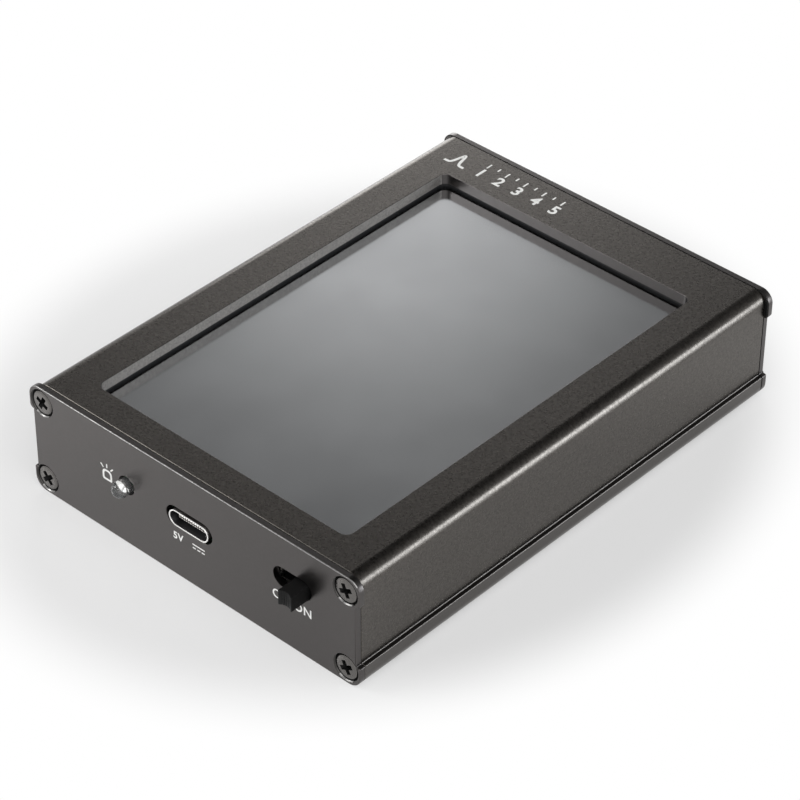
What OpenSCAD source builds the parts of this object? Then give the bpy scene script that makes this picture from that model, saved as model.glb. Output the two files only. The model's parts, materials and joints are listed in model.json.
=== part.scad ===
// Handheld spectrum analyzer: extruded aluminium box, touch display, two coaxial jacks.
// Origin: centre of the bottom face. +Y runs to the rear plate with the jacks, +Z is up.

/* [Case] */
// Length of the two aluminium shells, from plate to plate
shell_l = 100; // [96:1:130]
// Width of the upper shell over its side walls
shell_w = 72.6; // [70:0.2:90]
// Height of the closed case
case_h = 21.8; // [21.4:0.2:26]
// Thickness of the upper shell's flat top
top_t = 2; // [1.6:0.1:2.4]
// Thickness of the upper shell's side walls
wall_t = 1.8; // [1.6:0.1:2.2]
// Thickness of the lower shell's floor
floor_t = 1.6; // [1.2:0.1:2]
// Radius of the upper shell's long shoulders
shoulder_r = 1.5; // [1:0.1:2.4]
// Radius of the lower shell's long edges and of the plates' corners
corner_r = 2.4; // [2:0.1:3]
// Height of the ledge where the two shells meet
ledge_h = 4.35; // [4.2:0.05:4.8]
// How far the lower shell and the plates' ears stand out from the side walls
ledge_w = 0.8; // [0.5:0.1:1]
// Height of the plates' upper ears
ear_h = 5.2; // [4:0.1:6]
// Height of the lower shell's inner rib above the ledge
rib_h = 2; // [1.5:0.1:2.4]
// Thickness of the lower shell's inner rib
rib_t = 2.2; // [1.6:0.1:2.4]
// Thickness of the upper shell's wall outside the rib
skirt_t = 0.9; // [0.7:0.1:1]
// Thickness of the front and rear plates
plate_t = 1.3; // [1.2:0.1:2]

/* [Plate screws] */
// Distance of the screws from the plates' outer edges
screw_inset = 3; // [2.8:0.1:3.4]
// Diameter of a screw's countersunk head
head_d = 4.6; // [4.2:0.1:4.8]
// Diameter of the countersink in the plate's face
sink_d = 5.1; // [4.9:0.1:5.2]
// Core diameter of the screw's thread
screw_d = 2; // [1.8:0.1:2.2]
// Length of a screw, head included
screw_l = 8; // [5:0.5:12]
// Clear hole for a screw through a plate
screw_hole_d = 2.8; // [2.6:0.1:3]
// Wall round a screw port in the shells
port_wall = 1.15; // [1:0.05:1.2]
// Span of the cross recess in a screw head
cross_span = 2.7; // [2.2:0.1:3]
// Width of one arm of the cross recess
cross_w = 0.62; // [0.5:0.02:0.8]
// Depth of the cross recess
cross_depth = 0.95; // [0.6:0.05:1.2]

/* [Window and gasket] */
// Width of the display module's side border, out to the window's edge
border_side = 2.5; // [2:0.1:4]
// Width of the display module's front border
border_front = 2.1; // [1.8:0.1:4]
// Width of the display module's rear border, which holds its driver chip
border_rear = 7.9; // [7.5:0.1:10]
// Radius of the window's corners
window_r = 1.5; // [0.5:0.1:3]
// Thickness of the gasket under the window's edge
gasket_t = 0.7; // [0.5:0.1:0.8]
// How far the gasket's opening is set back from the window's edge
gasket_back = 0.35; // [0.1:0.05:1]

/* [Display] */
// Room between the front plate and the display module
front_room = 3.5; // [3.2:0.1:5]
// Room behind the display module for its flex tails
rear_room = 1.9; // [1.7:0.1:4]
// Gap between the display module and the screw ports
side_room = 1.4; // [0.5:0.1:3]
// Thickness of the touch panel's top film
film_t = 0.2; // [0.15:0.05:0.3]
// Thickness of the touch panel's glass
touch_t = 0.9; // [0.7:0.1:1.1]
// How much shorter the touch panel is than the display module
touch_short = 2; // [1.5:0.1:3]
// Thickness of the adhesive frame between touch panel and display
tape_t = 0.2; // [0.1:0.05:0.3]
// Width of the adhesive frame's strips
tape_w = 2; // [1.2:0.1:2.4]
// Thickness of each of the display cell's two glasses
cell_t = 0.5; // [0.4:0.05:0.6]
// Length of the lower glass's ledge for the driver chip and flex
cell_ledge = 4; // [3.6:0.1:5]
// Thickness of the light guide
guide_t = 0.9; // [0.7:0.1:1.1]
// Sheet thickness of the display's steel tray
tray_t = 0.2; // [0.15:0.05:0.3]
// Width of the driver chip
driver_w = 18; // [12:1:22]
// Length of the driver chip
driver_l = 1.2; // [0.8:0.1:1.4]
// Height of the driver chip
driver_h = 0.3; // [0.2:0.05:0.4]
// Thickness of the flex tails
flex_t = 0.2; // [0.1:0.05:0.3]
// Bend radius of the flex tails, to their middle
flex_r = 0.6; // [0.4:0.05:0.7]
// Length of the display's flex tail that is bonded to the glass
flex_bond = 1.2; // [0.8:0.1:1.5]
// Length of a flex tail inside its socket
flex_plug = 1.5; // [1:0.1:2.5]
// Width of the display's flex tail
lcd_flex_w = 18; // [14:0.5:20]
// Width of the touch panel's flex tail
touch_flex_w = 4; // [3:0.5:5]
// Gap between the two flex tails
flex_gap = 3; // [2.5:0.5:4]
// Edge of the square foam pads under the display
pad_w = 5; // [3:0.5:6]

/* [Board] */
// Clear height between the main board and the display
board_drop = 5.1; // [5.1:0.1:5.6]
// Thickness of the main board
board_t = 1.6; // [1:0.2:1.6]
// Depth of the slots that hold the board's edges
slot_depth = 1.5; // [1:0.1:1.8]
// Thickness of the rails either side of a slot
rail_t = 1; // [0.8:0.1:1.2]
// Height of the flex sockets
zif_h = 2; // [1:0.1:2.4]
// Depth of the flex sockets, front to rear
zif_l = 4; // [3:0.1:4.4]
// Wall of the flex sockets beside the flex
zif_wall = 1; // [0.6:0.1:1.2]
// Diameter of the board's holes for leads and pins
pin_hole_d = 1; // [0.95:0.05:1.1]
// How far leads and pins reach below the board
pin_below = 0.9; // [0.4:0.1:1.2]

/* [Board components] */
// Width of the shield cans
can_w = 22; // [16:1:24]
// Length of the shield cans
can_l = 26; // [18:1:28]
// Height of the shield cans
can_h = 3; // [2.5:0.1:3.6]
// Sheet thickness of the shield cans
can_t = 0.3; // [0.2:0.05:0.4]
// Distance of the shield cans from the board's side edges
can_edge = 4; // [3:0.5:6]
// Height of the lid's rim over the can's frame
lid_rim = 1; // [0.5:0.1:1.5]
// Edge of the square radio chips under the cans
radio_chip_w = 6; // [4:0.5:8]
// Edge of the processor's square package
processor_w = 14; // [10:1:16]
// Height of the processor's package
processor_h = 1.4; // [1:0.1:1.6]
// Height of the small chips
small_chip_h = 0.9; // [0.7:0.1:1.2]
// Length of the memory and charger packages
small_chip_l = 5; // [4:0.2:6]
// Width of the memory and charger packages
small_chip_w = 4; // [3:0.2:5]
// Length of the crystal's can
crystal_l = 5; // [3.2:0.2:7]
// Width of the crystal's can
crystal_w = 3.2; // [2.6:0.1:5]
// Height of the crystal's can
crystal_h = 1.3; // [0.8:0.1:1.6]
// Edge of the power inductor
coil_w = 5; // [4:0.2:6]
// Height of the power inductor
coil_h = 2.8; // [2:0.1:3.2]
// Diameter of the round well in the power inductor's top
coil_d = 3.8; // [3:0.1:3.9]
// Depth of the round well in the power inductor's top
coil_well = 0.4; // [0.2:0.1:0.8]

/* [USB inlet] */
// Distance of the receptacle to the left of the case's centre line
usb_x = 0.1; // [0:0.1:2]
// Width of the receptacle's shell
usb_w = 8.94; // [8.9:0.02:9]
// Height of the receptacle's shell
usb_h = 3.26; // [3.2:0.02:3.3]
// Depth of the receptacle's shell
usb_l = 7.35; // [6.5:0.05:8]
// Sheet thickness of the receptacle's shell
usb_t = 0.3; // [0.25:0.05:0.35]
// How far the receptacle stands out of the front plate
usb_proud = 0.2; // [0:0.05:0.5]
// Gap beside the receptacle in the plate's cut-out
usb_gap_side = 0.73; // [0.3:0.01:1]
// Gap under the receptacle in the plate's cut-out
usb_gap_low = 0.2; // [0.1:0.05:0.5]
// Gap above the receptacle in the plate's cut-out
usb_gap_high = 0.54; // [0.3:0.02:0.8]
// Width of the plastic tongue
tongue_w = 6.69; // [6.6:0.01:6.8]
// Thickness of the plastic tongue
tongue_t = 0.7; // [0.6:0.05:0.8]
// How far the tongue's tip lies inside the mouth
tongue_in = 0.9; // [0.5:0.1:1.5]
// Thickness of the plastic block that closes the receptacle's rear
usb_block = 2.2; // [1:0.1:2.6]
// Number of contacts on each face of the tongue
usb_contact_n = 12; // [8:2:12]
// Pitch of the contacts on the tongue
usb_pitch = 0.5; // [0.45:0.01:0.52]
// Width of one contact
usb_contact_w = 0.25; // [0.2:0.01:0.3]
// Length of one contact
usb_contact_l = 3.2; // [2:0.1:3.2]
// Thickness of one contact
usb_contact_t = 0.05; // [0.03:0.01:0.08]
// Length of the shell's four board tabs, front to rear
tab_l = 0.8; // [0.6:0.05:0.8]

/* [Status LED] */
// Distance of the LED to the left of the case's centre line
led_x = 14.5; // [12:0.5:18]
// Height of the LED's axis above the board
led_rise = 1.82; // [1.82:0.02:2.4]
// Diameter of the LED's body
led_d = 3; // [2.8:0.1:3.1]
// Diameter of the LED's flange
led_flange_d = 3.6; // [3.55:0.01:3.6]
// Thickness of the LED's flange
led_flange_t = 1; // [0.8:0.1:1.1]
// Length of the LED's body, flange and dome included
led_l = 5.3; // [5.1:0.1:6]
// How far the LED's dome stands out of the front plate
led_proud = 2.6; // [2:0.1:2.7]
// Gap round the LED in its plate hole
led_gap = 0.25; // [0.1:0.01:0.26]
// Edge of the LED's square leads
lead_w = 0.5; // [0.4:0.05:0.6]
// Distance between the LED's two leads
lead_pitch = 2.54; // [2:0.02:2.54]

/* [Power switch] */
// Distance of the switch's middle to the right of the case's centre line
switch_x = 22.75; // [20:0.25:25]
// Height of the knob's middle above the board
switch_rise = 3; // [2.9:0.05:3.1]
// Travel of the knob
switch_travel = 4; // [2:0.5:4.5]
// Play between the knob and its limits
switch_play = 0.25; // [0.15:0.05:0.4]
// Width of the knob
knob_w = 2.7; // [2.4:0.1:3]
// Height of the knob
knob_h = 2.9; // [2.6:0.1:3]
// How far the knob stands out of the front plate
knob_proud = 3.75; // [2:0.25:5]
// Depth of the thumb hollow in the knob's end
knob_hollow = 0.45; // [0.2:0.05:0.6]
// Width of the flat land beside the thumb hollow
knob_land = 0.2; // [0.1:0.05:0.3]
// Number of grooves in the thumb hollow
knob_groove_n = 5; // [3:1:6]
// Pitch of the grooves in the thumb hollow
knob_groove_pitch = 0.4; // [0.3:0.02:0.42]
// Radius of the grooves in the thumb hollow
knob_groove_r = 0.12; // [0.08:0.01:0.14]
// Gap between the knob and the ends of its slot in the plate
knob_slot_gap = 0.8; // [0.4:0.05:1]
// Gap between the knob and the long sides of its slot in the plate
knob_slot_side = 0.5; // [0.3:0.05:0.7]
// Gap between the knob and the long sides of the window in the frame
knob_window_side = 0.25; // [0.15:0.05:0.3]
// Gap from the front plate to the switch's frame
switch_gap = 0.2; // [0.1:0.05:0.3]
// Sheet thickness of the switch's metal frame
frame_t = 0.3; // [0.2:0.05:0.35]
// Length of the frame's board legs, front to rear
frame_leg_l = 0.8; // [0.6:0.05:0.8]
// Width of the knob's carriage behind the frame
carriage_w = 4.2; // [3.6:0.1:4.6]
// Height of the knob's carriage
carriage_h = 4.05; // [3.9:0.05:4.15]
// Depth of the knob's carriage
carriage_l = 1.3; // [1:0.05:1.4]
// Edge of the square wiper clip in the carriage
wiper_w = 2.6; // [2:0.1:3]
// Sheet thickness of the wiper clip
wiper_t = 0.25; // [0.2:0.05:0.3]
// Distance between the switch's terminals
terminal_pitch = 2.5; // [2:0.1:3]
// Width of one terminal
terminal_w = 0.6; // [0.4:0.05:0.7]
// Thickness of one terminal
terminal_t = 0.4; // [0.3:0.05:0.5]

/* [Coaxial jacks] */
// Distance of each jack from the case's centre line
jack_x = 18; // [17:0.5:24]
// Height of the jacks' axis above the board
jack_rise = 0.42; // [0.4:0.01:0.5]
// Thread diameter of the jacks
jack_d = 6.35; // [6.3:0.01:6.4]
// Diameter of the jack's neck, its thread's core, in plate, washer and nut
jack_neck_d = 5.8; // [5.6:0.05:5.9]
// How far the jacks stand out of the rear plate
jack_proud = 8; // [7:0.25:10]
// Bevel at the thread's end
jack_bevel = 0.3; // [0.1:0.05:0.5]
// Edge of the jack's square flange
jack_flange_w = 6.6; // [6.5:0.1:7.6]
// Thickness of the jack's flange
jack_flange_t = 1.6; // [1.2:0.1:2]
// Gap round a jack's thread in its plate hole
jack_gap = 0.15; // [0.1:0.05:0.3]
// Length of the jack's legs and tail along the board
leg_l = 4.4; // [3:0.1:5]
// Edge of the jack's square legs
leg_w = 1; // [0.8:0.1:1.2]
// Diameter of the round mouth for the plug's collar
jack_mouth_d = 4.6; // [4.6:0.05:4.8]
// Depth of the round mouth, down to the insulator's face
jack_mouth_l = 1.9; // [1.85:0.05:2]
// Diameter of the jack's insulator
insulator_d = 4.1; // [3.8:0.05:4.4]
// Diameter of the jack's centre contact
contact_d = 1.27; // [1.2:0.01:1.4]
// Diameter of the bore in the centre contact's mouth
contact_bore_d = 0.93; // [0.9:0.01:1]
// Depth of the bore in the centre contact's mouth
contact_bore_l = 3; // [2:0.1:4]
// Diameter of the centre contact's tail on the board
tail_d = 0.76; // [0.6:0.02:0.8]
// Thickness of the jacks' washers
washer_t = 0.5; // [0.4:0.1:0.8]
// Diameter of the jacks' washers
washer_d = 9.4; // [8.6:0.2:10]
// Width of the jacks' nuts across their flats
nut_af = 8; // [7.6:0.1:8.4]
// Thickness of the jacks' nuts
nut_t = 2; // [1.6:0.1:2.4]

/* [Battery] */
// Width of the battery pouch
battery_w = 50; // [40:1:54]
// Length of the battery pouch
battery_l = 62; // [50:1:64]
// Clear height between the battery and the main board
battery_drop = 1.8; // [1.3:0.1:3]
// Radius of the battery pouch's corners
battery_r = 2; // [1:0.5:4]
// How far the battery's middle lies behind the case's middle
battery_y = 5; // [2:0.5:7]
// Thickness of the tape under the battery
battery_tape_t = 0.5; // [0.3:0.1:0.8]
// Margin of the tape inside the battery's outline
battery_tape_in = 5; // [2:1:10]
// Width of the battery's protection board
guard_w = 30; // [20:1:36]
// Depth of the battery's protection board, front to rear
guard_l = 3.2; // [2.5:0.1:4]
// Thickness of the battery's protection board
guard_t = 0.8; // [0.6:0.1:1]
// Diameter of the battery's two leads
wire_d = 1.2; // [1:0.1:1.4]
// Distance between the battery's two leads
wire_pitch = 2; // [1.8:0.1:2.5]
// Free length of the leads, front to rear
wire_run = 6; // [4:0.5:7]
// Straight stretch at each end of a lead
wire_end = 1.5; // [1.2:0.1:1.8]
// Width of the battery's socket
socket_w = 6; // [5.4:0.2:7]
// Height of the battery's socket under the board
socket_h = 3.4; // [3:0.1:3.8]
// Depth of the battery's socket, front to rear
socket_l = 4.5; // [4:0.1:6]
// Wall of the battery's socket
socket_wall = 0.5; // [0.4:0.05:0.6]

/* [Hidden] */
$fn = 64;

// Clearances: round fits, sliding fits, assembly gaps and free gaps, and how far a cut runs past a face
fine = 0.03;
slide = 0.05;
fit = 0.1;
loose = 0.3;
past = 1;

// Case
half_l = shell_l / 2;
half_w = shell_w / 2;
front_y = -half_l - plate_t;
rear_y = half_l + plate_t;
outer_x = half_w + ledge_w;
inner_x = half_w - wall_t;
top_in_z = case_h - top_t;
ear_z = case_h - ear_h;
screw_x = outer_x - screw_inset;
low_screw_z = screw_inset;
high_screw_z = case_h - screw_inset;
screw_spots = [for (s = [-1, 1], z = [low_screw_z, high_screw_z]) [s * screw_x, z]];
port_d = screw_d + 2 * slide;
port_r = port_d / 2 + port_wall;
screw_sunk = (sink_d - head_d) / 2 - slide;
rib_out_x = half_w - skirt_t - fit;
rib_in_x = rib_out_x - rib_t;

// Display, from the window down
lcd_x = screw_x - port_r - side_room;
lcd_y0 = -half_l + front_room;
lcd_y1 = half_l - rear_room;
touch_y1 = lcd_y1 - touch_short;
window_x = lcd_x - border_side;
window_y0 = lcd_y0 + border_front;
window_y1 = lcd_y1 - border_rear;
gasket_z = top_in_z - gasket_t;
film_z = gasket_z - film_t;
touch_z = film_z - touch_t;
tape_z = touch_z - tape_t;
upper_cell_z = tape_z - cell_t;
cell_z = upper_cell_z - cell_t;
guide_z = cell_z - guide_t;
tray_z = guide_z - tray_t;
cell_in = tray_t + fit;
cell_y1 = lcd_y1 - cell_in;
upper_cell_y1 = cell_y1 - cell_ledge;

// Board
board_z = tray_z - board_drop;
board_low_z = board_z - board_t;
board_x = inner_x - loose;
board_y0 = -half_l + loose;
board_y1 = half_l - jack_flange_t - fit;
pin_z = board_low_z - pin_below;

// Flex tails and their sockets
flex_x0 = -(lcd_flex_w + flex_gap + touch_flex_w) / 2;
touch_flex_x0 = flex_x0 + lcd_flex_w + flex_gap;
flex_back_y = half_l - loose - flex_t / 2;
zif_y1 = board_y1 - past;
zif_y0 = zif_y1 - zif_l;
zif_z = board_z + zif_h / 2;

// Components on the board
can_x = board_x - can_edge - can_w / 2;
can_y = zif_y0 - 2 * past - can_l / 2;
pad_x = lcd_x - loose - pad_w / 2;
pad_y0 = lcd_y0 + 2 * pad_w;
pad_y1 = lcd_y1 - pad_w / 2 - loose;
processor_y = -processor_w / 2;
small_chip_x = processor_w / 2 + 2 * small_chip_w;
charger_x = small_chip_x / 2;
charger_y = pad_y0;

// USB inlet
usb_z = board_z + usb_h / 2;
usb_y0 = front_y - usb_proud;
usb_y1 = usb_y0 + usb_l;
usb_block_y = usb_y1 - usb_block;
tongue_y = usb_y0 + tongue_in;
usb_in_h = usb_h - 2 * usb_t;
usb_in_w = usb_w - 2 * usb_t;
tab_x = usb_w / 2 - usb_t / 2;
tab_spots = [for (s = [-1, 1], y = [board_y0 + tab_l, usb_y1 - tab_l]) [s * tab_x - usb_x, y]];

// Status LED
led_z = board_z + led_rise;
led_y0 = front_y - led_proud;
led_y1 = led_y0 + led_l;
lead_y = led_y1 + past;
lead_spots = [for (s = [-1, 1]) [s * lead_pitch / 2 - led_x, lead_y]];

// Power switch, with the knob at its ON end
switch_z = board_z + switch_rise;
knob_x = switch_x + switch_travel / 2;
knob_y = front_y - knob_proud;
frame_y0 = -half_l + switch_gap;
frame_y1 = lcd_y0 - 2 * fit;
carriage_y0 = frame_y0 + frame_t + fit;
carriage_y1 = carriage_y0 + carriage_l;
base_y0 = carriage_y1 + fit;
run_w = carriage_w + switch_travel + 2 * switch_play;
run_z0 = switch_z - carriage_h / 2 - slide;
run_z1 = switch_z + carriage_h / 2 + fit;
frame_x = run_w / 2 + frame_t;
frame_leg_x = frame_x - frame_t / 2;
frame_leg_y = base_y0;
frame_legs = [for (s = [-1, 1]) [switch_x + s * frame_leg_x, frame_leg_y]];
terminal_y = (base_y0 + frame_y1) / 2;
terminals = [for (i = [-1, 0, 1]) [switch_x + i * terminal_pitch, terminal_y]];
pin_spots = concat(tab_spots, lead_spots, frame_legs, terminals);

// Coaxial jacks
jack_z = board_z + jack_rise;
jack_y1 = rear_y + jack_proud;
neck_y1 = rear_y + washer_t + nut_t;
mouth_y = jack_y1 - jack_mouth_l;
flange_y0 = half_l - jack_flange_t;
leg_x = (jack_flange_w - leg_w) / 2;
washer_bore_d = jack_d + 2 * fine;
nut_bore_d = jack_neck_d + 2 * fine;

// Battery, under the board
battery_z = floor_t + battery_tape_t;
battery_t = board_low_z - battery_drop - battery_z;
battery_y0 = battery_y - battery_l / 2;
guard_y0 = battery_y0 - guard_l;
guard_z = battery_z + (battery_t - guard_t) / 2;
socket_x = -guard_w / 4;
socket_y1 = guard_y0 - wire_run;
socket_y0 = socket_y1 - socket_l;
socket_z = board_low_z - socket_h;
plug_z = socket_z + socket_h / 2;
wire_z = guard_z + guard_t / 2;

// Colours
case_grey = [0.2, 0.19, 0.18];
screw_grey = [0.3, 0.29, 0.28];
gold = [0.83, 0.67, 0.36];
steel = [0.72, 0.72, 0.72];
black = [0.05, 0.05, 0.05];
board_green = [0.05, 0.3, 0.15];
flex_amber = [0.75, 0.45, 0.1];

// A box between two opposite corners
module block(a, b) {
  translate(a) cube(b - a);
}

// An X-Z outline run along Y
module along_y(y0, y1) {
  translate([0, y1, 0]) rotate([90, 0, 0]) linear_extrude(y1 - y0) children();
}

// A Y-Z outline run along X
module along_x(x0, x1) {
  translate([x0, 0, 0]) rotate([90, 0, 90]) linear_extrude(x1 - x0) children();
}

// A round bar along Y, centred on a spot in X and Z
module bar_y(spot, y0, y1, d) {
  translate([spot[0], y0, spot[1]]) rotate([-90, 0, 0]) cylinder(h = y1 - y0, d = d);
}

// A square bar down through the board, from height z to the pins' ends
module pin(spot, w, l, z) {
  block([spot[0] - w / 2, spot[1] - l / 2, pin_z], [spot[0] + w / 2, spot[1] + l / 2, z]);
}

// A flat outline with round corners between two opposite corners
module rounded_rect(a, b, r) {
  translate([a[0] + r, a[1]]) square([b[0] - a[0] - 2 * r, b[1] - a[1]]);
  translate([a[0], a[1] + r]) square([b[0] - a[0], b[1] - a[1] - 2 * r]);
  for (x = [a[0] + r, b[0] - r], y = [a[1] + r, b[1] - r]) translate([x, y]) circle(r = r);
}

// A slot with round ends, wider than high
module obround(w, h) {
  square([w - h, h], center = true);
  for (s = [-1, 1]) translate([s * (w - h) / 2, 0]) circle(d = h);
}

// Case

module upper_outline() {
  translate([-half_w, ledge_h]) square([shell_w, case_h - shoulder_r - ledge_h]);
  translate([shoulder_r - half_w, ledge_h]) square([shell_w - 2 * shoulder_r, case_h - ledge_h]);
  for (s = [-1, 1]) translate([s * (half_w - shoulder_r), case_h - shoulder_r]) circle(r = shoulder_r);
}

module lower_outline() {
  x = outer_x - corner_r;
  translate([-outer_x, corner_r]) square([2 * outer_x, ledge_h - corner_r]);
  intersection() {
    translate([-outer_x, 0]) square([2 * outer_x, ledge_h]);
    union() {
      translate([-x, 0]) square([2 * x, ledge_h]);
      for (s = [-1, 1]) translate([s * x, corner_r]) circle(r = corner_r);
    }
  }
}

module screw_ports(z, r) {
  for (s = [-1, 1]) translate([s * screw_x, z]) circle(r = r);
}

module board_rails() {
  for (s = [-1, 1], z = [board_low_z - rail_t, board_z + fit]) {
    translate([s * (inner_x - slot_depth / 2), z + rail_t / 2]) square([slot_depth, rail_t], center = true);
  }
}

module top_shell_profile() {
  difference() {
    upper_outline();
    difference() {
      translate([-inner_x, ledge_h - past]) square([2 * inner_x, top_in_z - ledge_h + past]);
      screw_ports(high_screw_z, port_r);
      board_rails();
    }
    translate([skirt_t - half_w, ledge_h - past])
      square([shell_w - 2 * skirt_t, rib_h + past + fit]);
    screw_ports(high_screw_z, port_d / 2);
  }
}

module bottom_shell_profile() {
  difference() {
    union() {
      lower_outline();
      for (s = [-1, 1]) translate([s * (rib_in_x + rib_t / 2), ledge_h]) {
        square([rib_t, 2 * rib_h], center = true);
      }
    }
    difference() {
      translate([-rib_in_x, floor_t]) square([2 * rib_in_x, ledge_h + rib_h]);
      screw_ports(low_screw_z, port_r);
    }
    screw_ports(low_screw_z, port_d / 2);
  }
}

module window_shape(grow) {
  rounded_rect([-window_x - grow, window_y0 - grow], [window_x + grow, window_y1 + grow], window_r + grow);
}

module top_shell() {
  color(case_grey) difference() {
    along_y(-half_l, half_l) top_shell_profile();
    translate([0, 0, top_in_z - past]) linear_extrude(top_t + 2 * past) window_shape(0);
  }
}

module bottom_shell() {
  color(case_grey) along_y(-half_l, half_l) bottom_shell_profile();
}

module plate_outline() {
  x = outer_x - corner_r;
  z = ear_z + ledge_w;
  lower_outline();
  translate([-half_w, ledge_h]) square([shell_w, case_h - corner_r - ledge_h]);
  translate([-outer_x, z]) square([2 * outer_x, case_h - corner_r - z]);
  translate([-x, z]) square([2 * x, case_h - z]);
  for (s = [-1, 1]) {
    translate([s * x, case_h - corner_r]) circle(r = corner_r);
    translate([s * half_w, z]) circle(r = ledge_w);
  }
}

// Countersunk holes, seen from a plate's outer face at z = 0
module screw_sinks() {
  for (spot = screw_spots) translate([spot[0], spot[1], 0]) {
    translate([0, 0, -plate_t - past]) cylinder(h = plate_t + 2 * past, d = screw_hole_d);
    rotate_extrude() polygon([[0, past], [sink_d / 2 + past, past], [0, -sink_d / 2]]);
  }
}

module blank_plate() {
  difference() {
    translate([0, 0, -plate_t]) linear_extrude(plate_t) plate_outline();
    screw_sinks();
  }
}

// Stands a drawing up on the front plate's outer face
module on_front() {
  translate([0, front_y, 0]) rotate([90, 0, 0]) children();
}

// Stands a drawing up on the rear plate's outer face; its shapes are alike left and right
module on_rear() {
  translate([0, rear_y, 0]) mirror([0, 1, 0]) rotate([90, 0, 0]) children();
}

module front_plate() {
  color(case_grey) on_front() difference() {
    blank_plate();
    translate([0, 0, -plate_t - past]) linear_extrude(plate_t + 2 * past) {
      translate([-usb_x, usb_z + (usb_gap_high - usb_gap_low) / 2])
        obround(usb_w + 2 * usb_gap_side, usb_h + usb_gap_low + usb_gap_high);
      translate([-led_x, led_z]) circle(d = led_d + 2 * led_gap);
      translate([switch_x, switch_z])
        obround(knob_w + switch_travel + 2 * knob_slot_gap, knob_h + 2 * knob_slot_side);
    }
  }
}

module rear_plate() {
  color(case_grey) on_rear() difference() {
    blank_plate();
    for (s = [-1, 1]) translate([s * jack_x, jack_z, -plate_t - past]) {
      cylinder(h = plate_t + 2 * past, d = jack_d + 2 * jack_gap);
    }
  }
}

// A cross-head screw with its head's top at z = 0; its cone ends inside the plate
module plate_screw() {
  head_h = min((head_d - screw_d) / 2, plate_t - screw_sunk - slide);
  difference() {
    union() {
      translate([0, 0, -head_h]) cylinder(h = head_h, r1 = head_d / 2 - head_h, r2 = head_d / 2);
      translate([0, 0, fit - screw_l]) cylinder(h = screw_l - fit - head_h / 2, d = screw_d);
      translate([0, 0, -screw_l]) cylinder(h = fit, d1 = screw_d - 2 * fit, d2 = screw_d);
    }
    intersection() {
      union() {
        cube([cross_span, cross_w, 2 * cross_depth], center = true);
        cube([cross_w, cross_span, 2 * cross_depth], center = true);
      }
      translate([0, 0, -cross_depth]) cylinder(h = cross_depth, d1 = cross_w, d2 = cross_span);
    }
  }
}

module plate_screws() {
  for (spot = screw_spots) translate([spot[0], spot[1], -screw_sunk]) plate_screw();
}

module front_plate_screws() {
  color(screw_grey) on_front() plate_screws();
}

module rear_plate_screws() {
  color(screw_grey) on_rear() plate_screws();
}

// Display

module window_gasket() {
  color(black) translate([0, 0, gasket_z]) linear_extrude(gasket_t) difference() {
    translate([-lcd_x, lcd_y0]) square([2 * lcd_x, touch_y1 - lcd_y0]);
    window_shape(gasket_back);
  }
}

module touch_film() {
  color("dimgray") block([-lcd_x, lcd_y0, film_z], [lcd_x, touch_y1, gasket_z]);
}

module touch_glass() {
  color("lightblue") block([-lcd_x, lcd_y0, touch_z], [lcd_x, touch_y1, film_z]);
}

module display_tape() {
  x = lcd_x - cell_in;
  y = lcd_y0 + cell_in;
  color("white") difference() {
    block([-x, y, tape_z], [x, upper_cell_y1, touch_z]);
    block([tape_w - x, y + tape_w, tape_z - past], [x - tape_w, upper_cell_y1 - tape_w, touch_z + past]);
  }
}

module lcd_cell() {
  x = lcd_x - cell_in;
  y = lcd_y0 + cell_in;
  color("slategray") union() {
    block([-x, y, cell_z], [x, cell_y1, upper_cell_z]);
    block([-x, y, upper_cell_z], [x, upper_cell_y1, tape_z]);
  }
}

module lcd_driver_chip() {
  y = upper_cell_y1 + loose;
  color(black) block([-driver_w / 2, y, upper_cell_z], [driver_w / 2, y + driver_l, upper_cell_z + driver_h]);
}

module light_guide() {
  x = lcd_x - cell_in;
  color("white") block([-x, lcd_y0 + cell_in, guide_z], [x, cell_y1, cell_z]);
}

module lcd_tray() {
  x = lcd_x - tray_t;
  color(steel) difference() {
    block([-lcd_x, lcd_y0, tray_z], [lcd_x, lcd_y1, upper_cell_z]);
    block([-x, lcd_y0 + tray_t, guide_z], [x, lcd_y1 - tray_t, upper_cell_z + past]);
  }
}

// A quarter of a flex tail's bend, from angle a on, round the origin
module flex_bend(a) {
  rotate(a) intersection() {
    difference() {
      circle(r = flex_r + flex_t / 2);
      circle(r = flex_r - flex_t / 2);
    }
    square(flex_r + flex_t);
  }
}

// A flex tail: back from y0 at height z, down behind the display and forward into its socket
module flex_tail(x0, x1, y0, z) {
  y = flex_back_y - flex_r;
  along_x(x0, x1) {
    translate([y0, z - flex_t / 2]) square([y - y0, flex_t]);
    translate([y, z - flex_r]) flex_bend(0);
    translate([flex_back_y - flex_t / 2, zif_z + flex_r]) square([flex_t, z - zif_z - 2 * flex_r]);
    translate([y, zif_z + flex_r]) flex_bend(-90);
    translate([zif_y1 - flex_plug, zif_z - flex_t / 2]) square([y - zif_y1 + flex_plug, flex_t]);
  }
}

module touch_flex() {
  color(flex_amber)
    flex_tail(touch_flex_x0, touch_flex_x0 + touch_flex_w, touch_y1, touch_z + touch_t / 2);
}

module lcd_flex() {
  color(flex_amber) flex_tail(flex_x0, flex_x0 + lcd_flex_w, cell_y1 - flex_bond, upper_cell_z + flex_t / 2);
}

module display_pads() {
  for (s = [-1, 1], y = [pad_y0, pad_y1]) {
    color(black) block([s * pad_x - pad_w / 2, y - pad_w / 2, board_z], [s * pad_x + pad_w / 2, y + pad_w / 2, tray_z]);
  }
}

// Board and its components

module main_board() {
  color(board_green) difference() {
    block([-board_x, board_y0, board_low_z], [board_x, board_y1, board_z]);
    for (spot = pin_spots) translate([spot[0], spot[1], board_low_z - past]) {
      cylinder(h = board_t + 2 * past, d = pin_hole_d);
    }
  }
}

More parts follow.
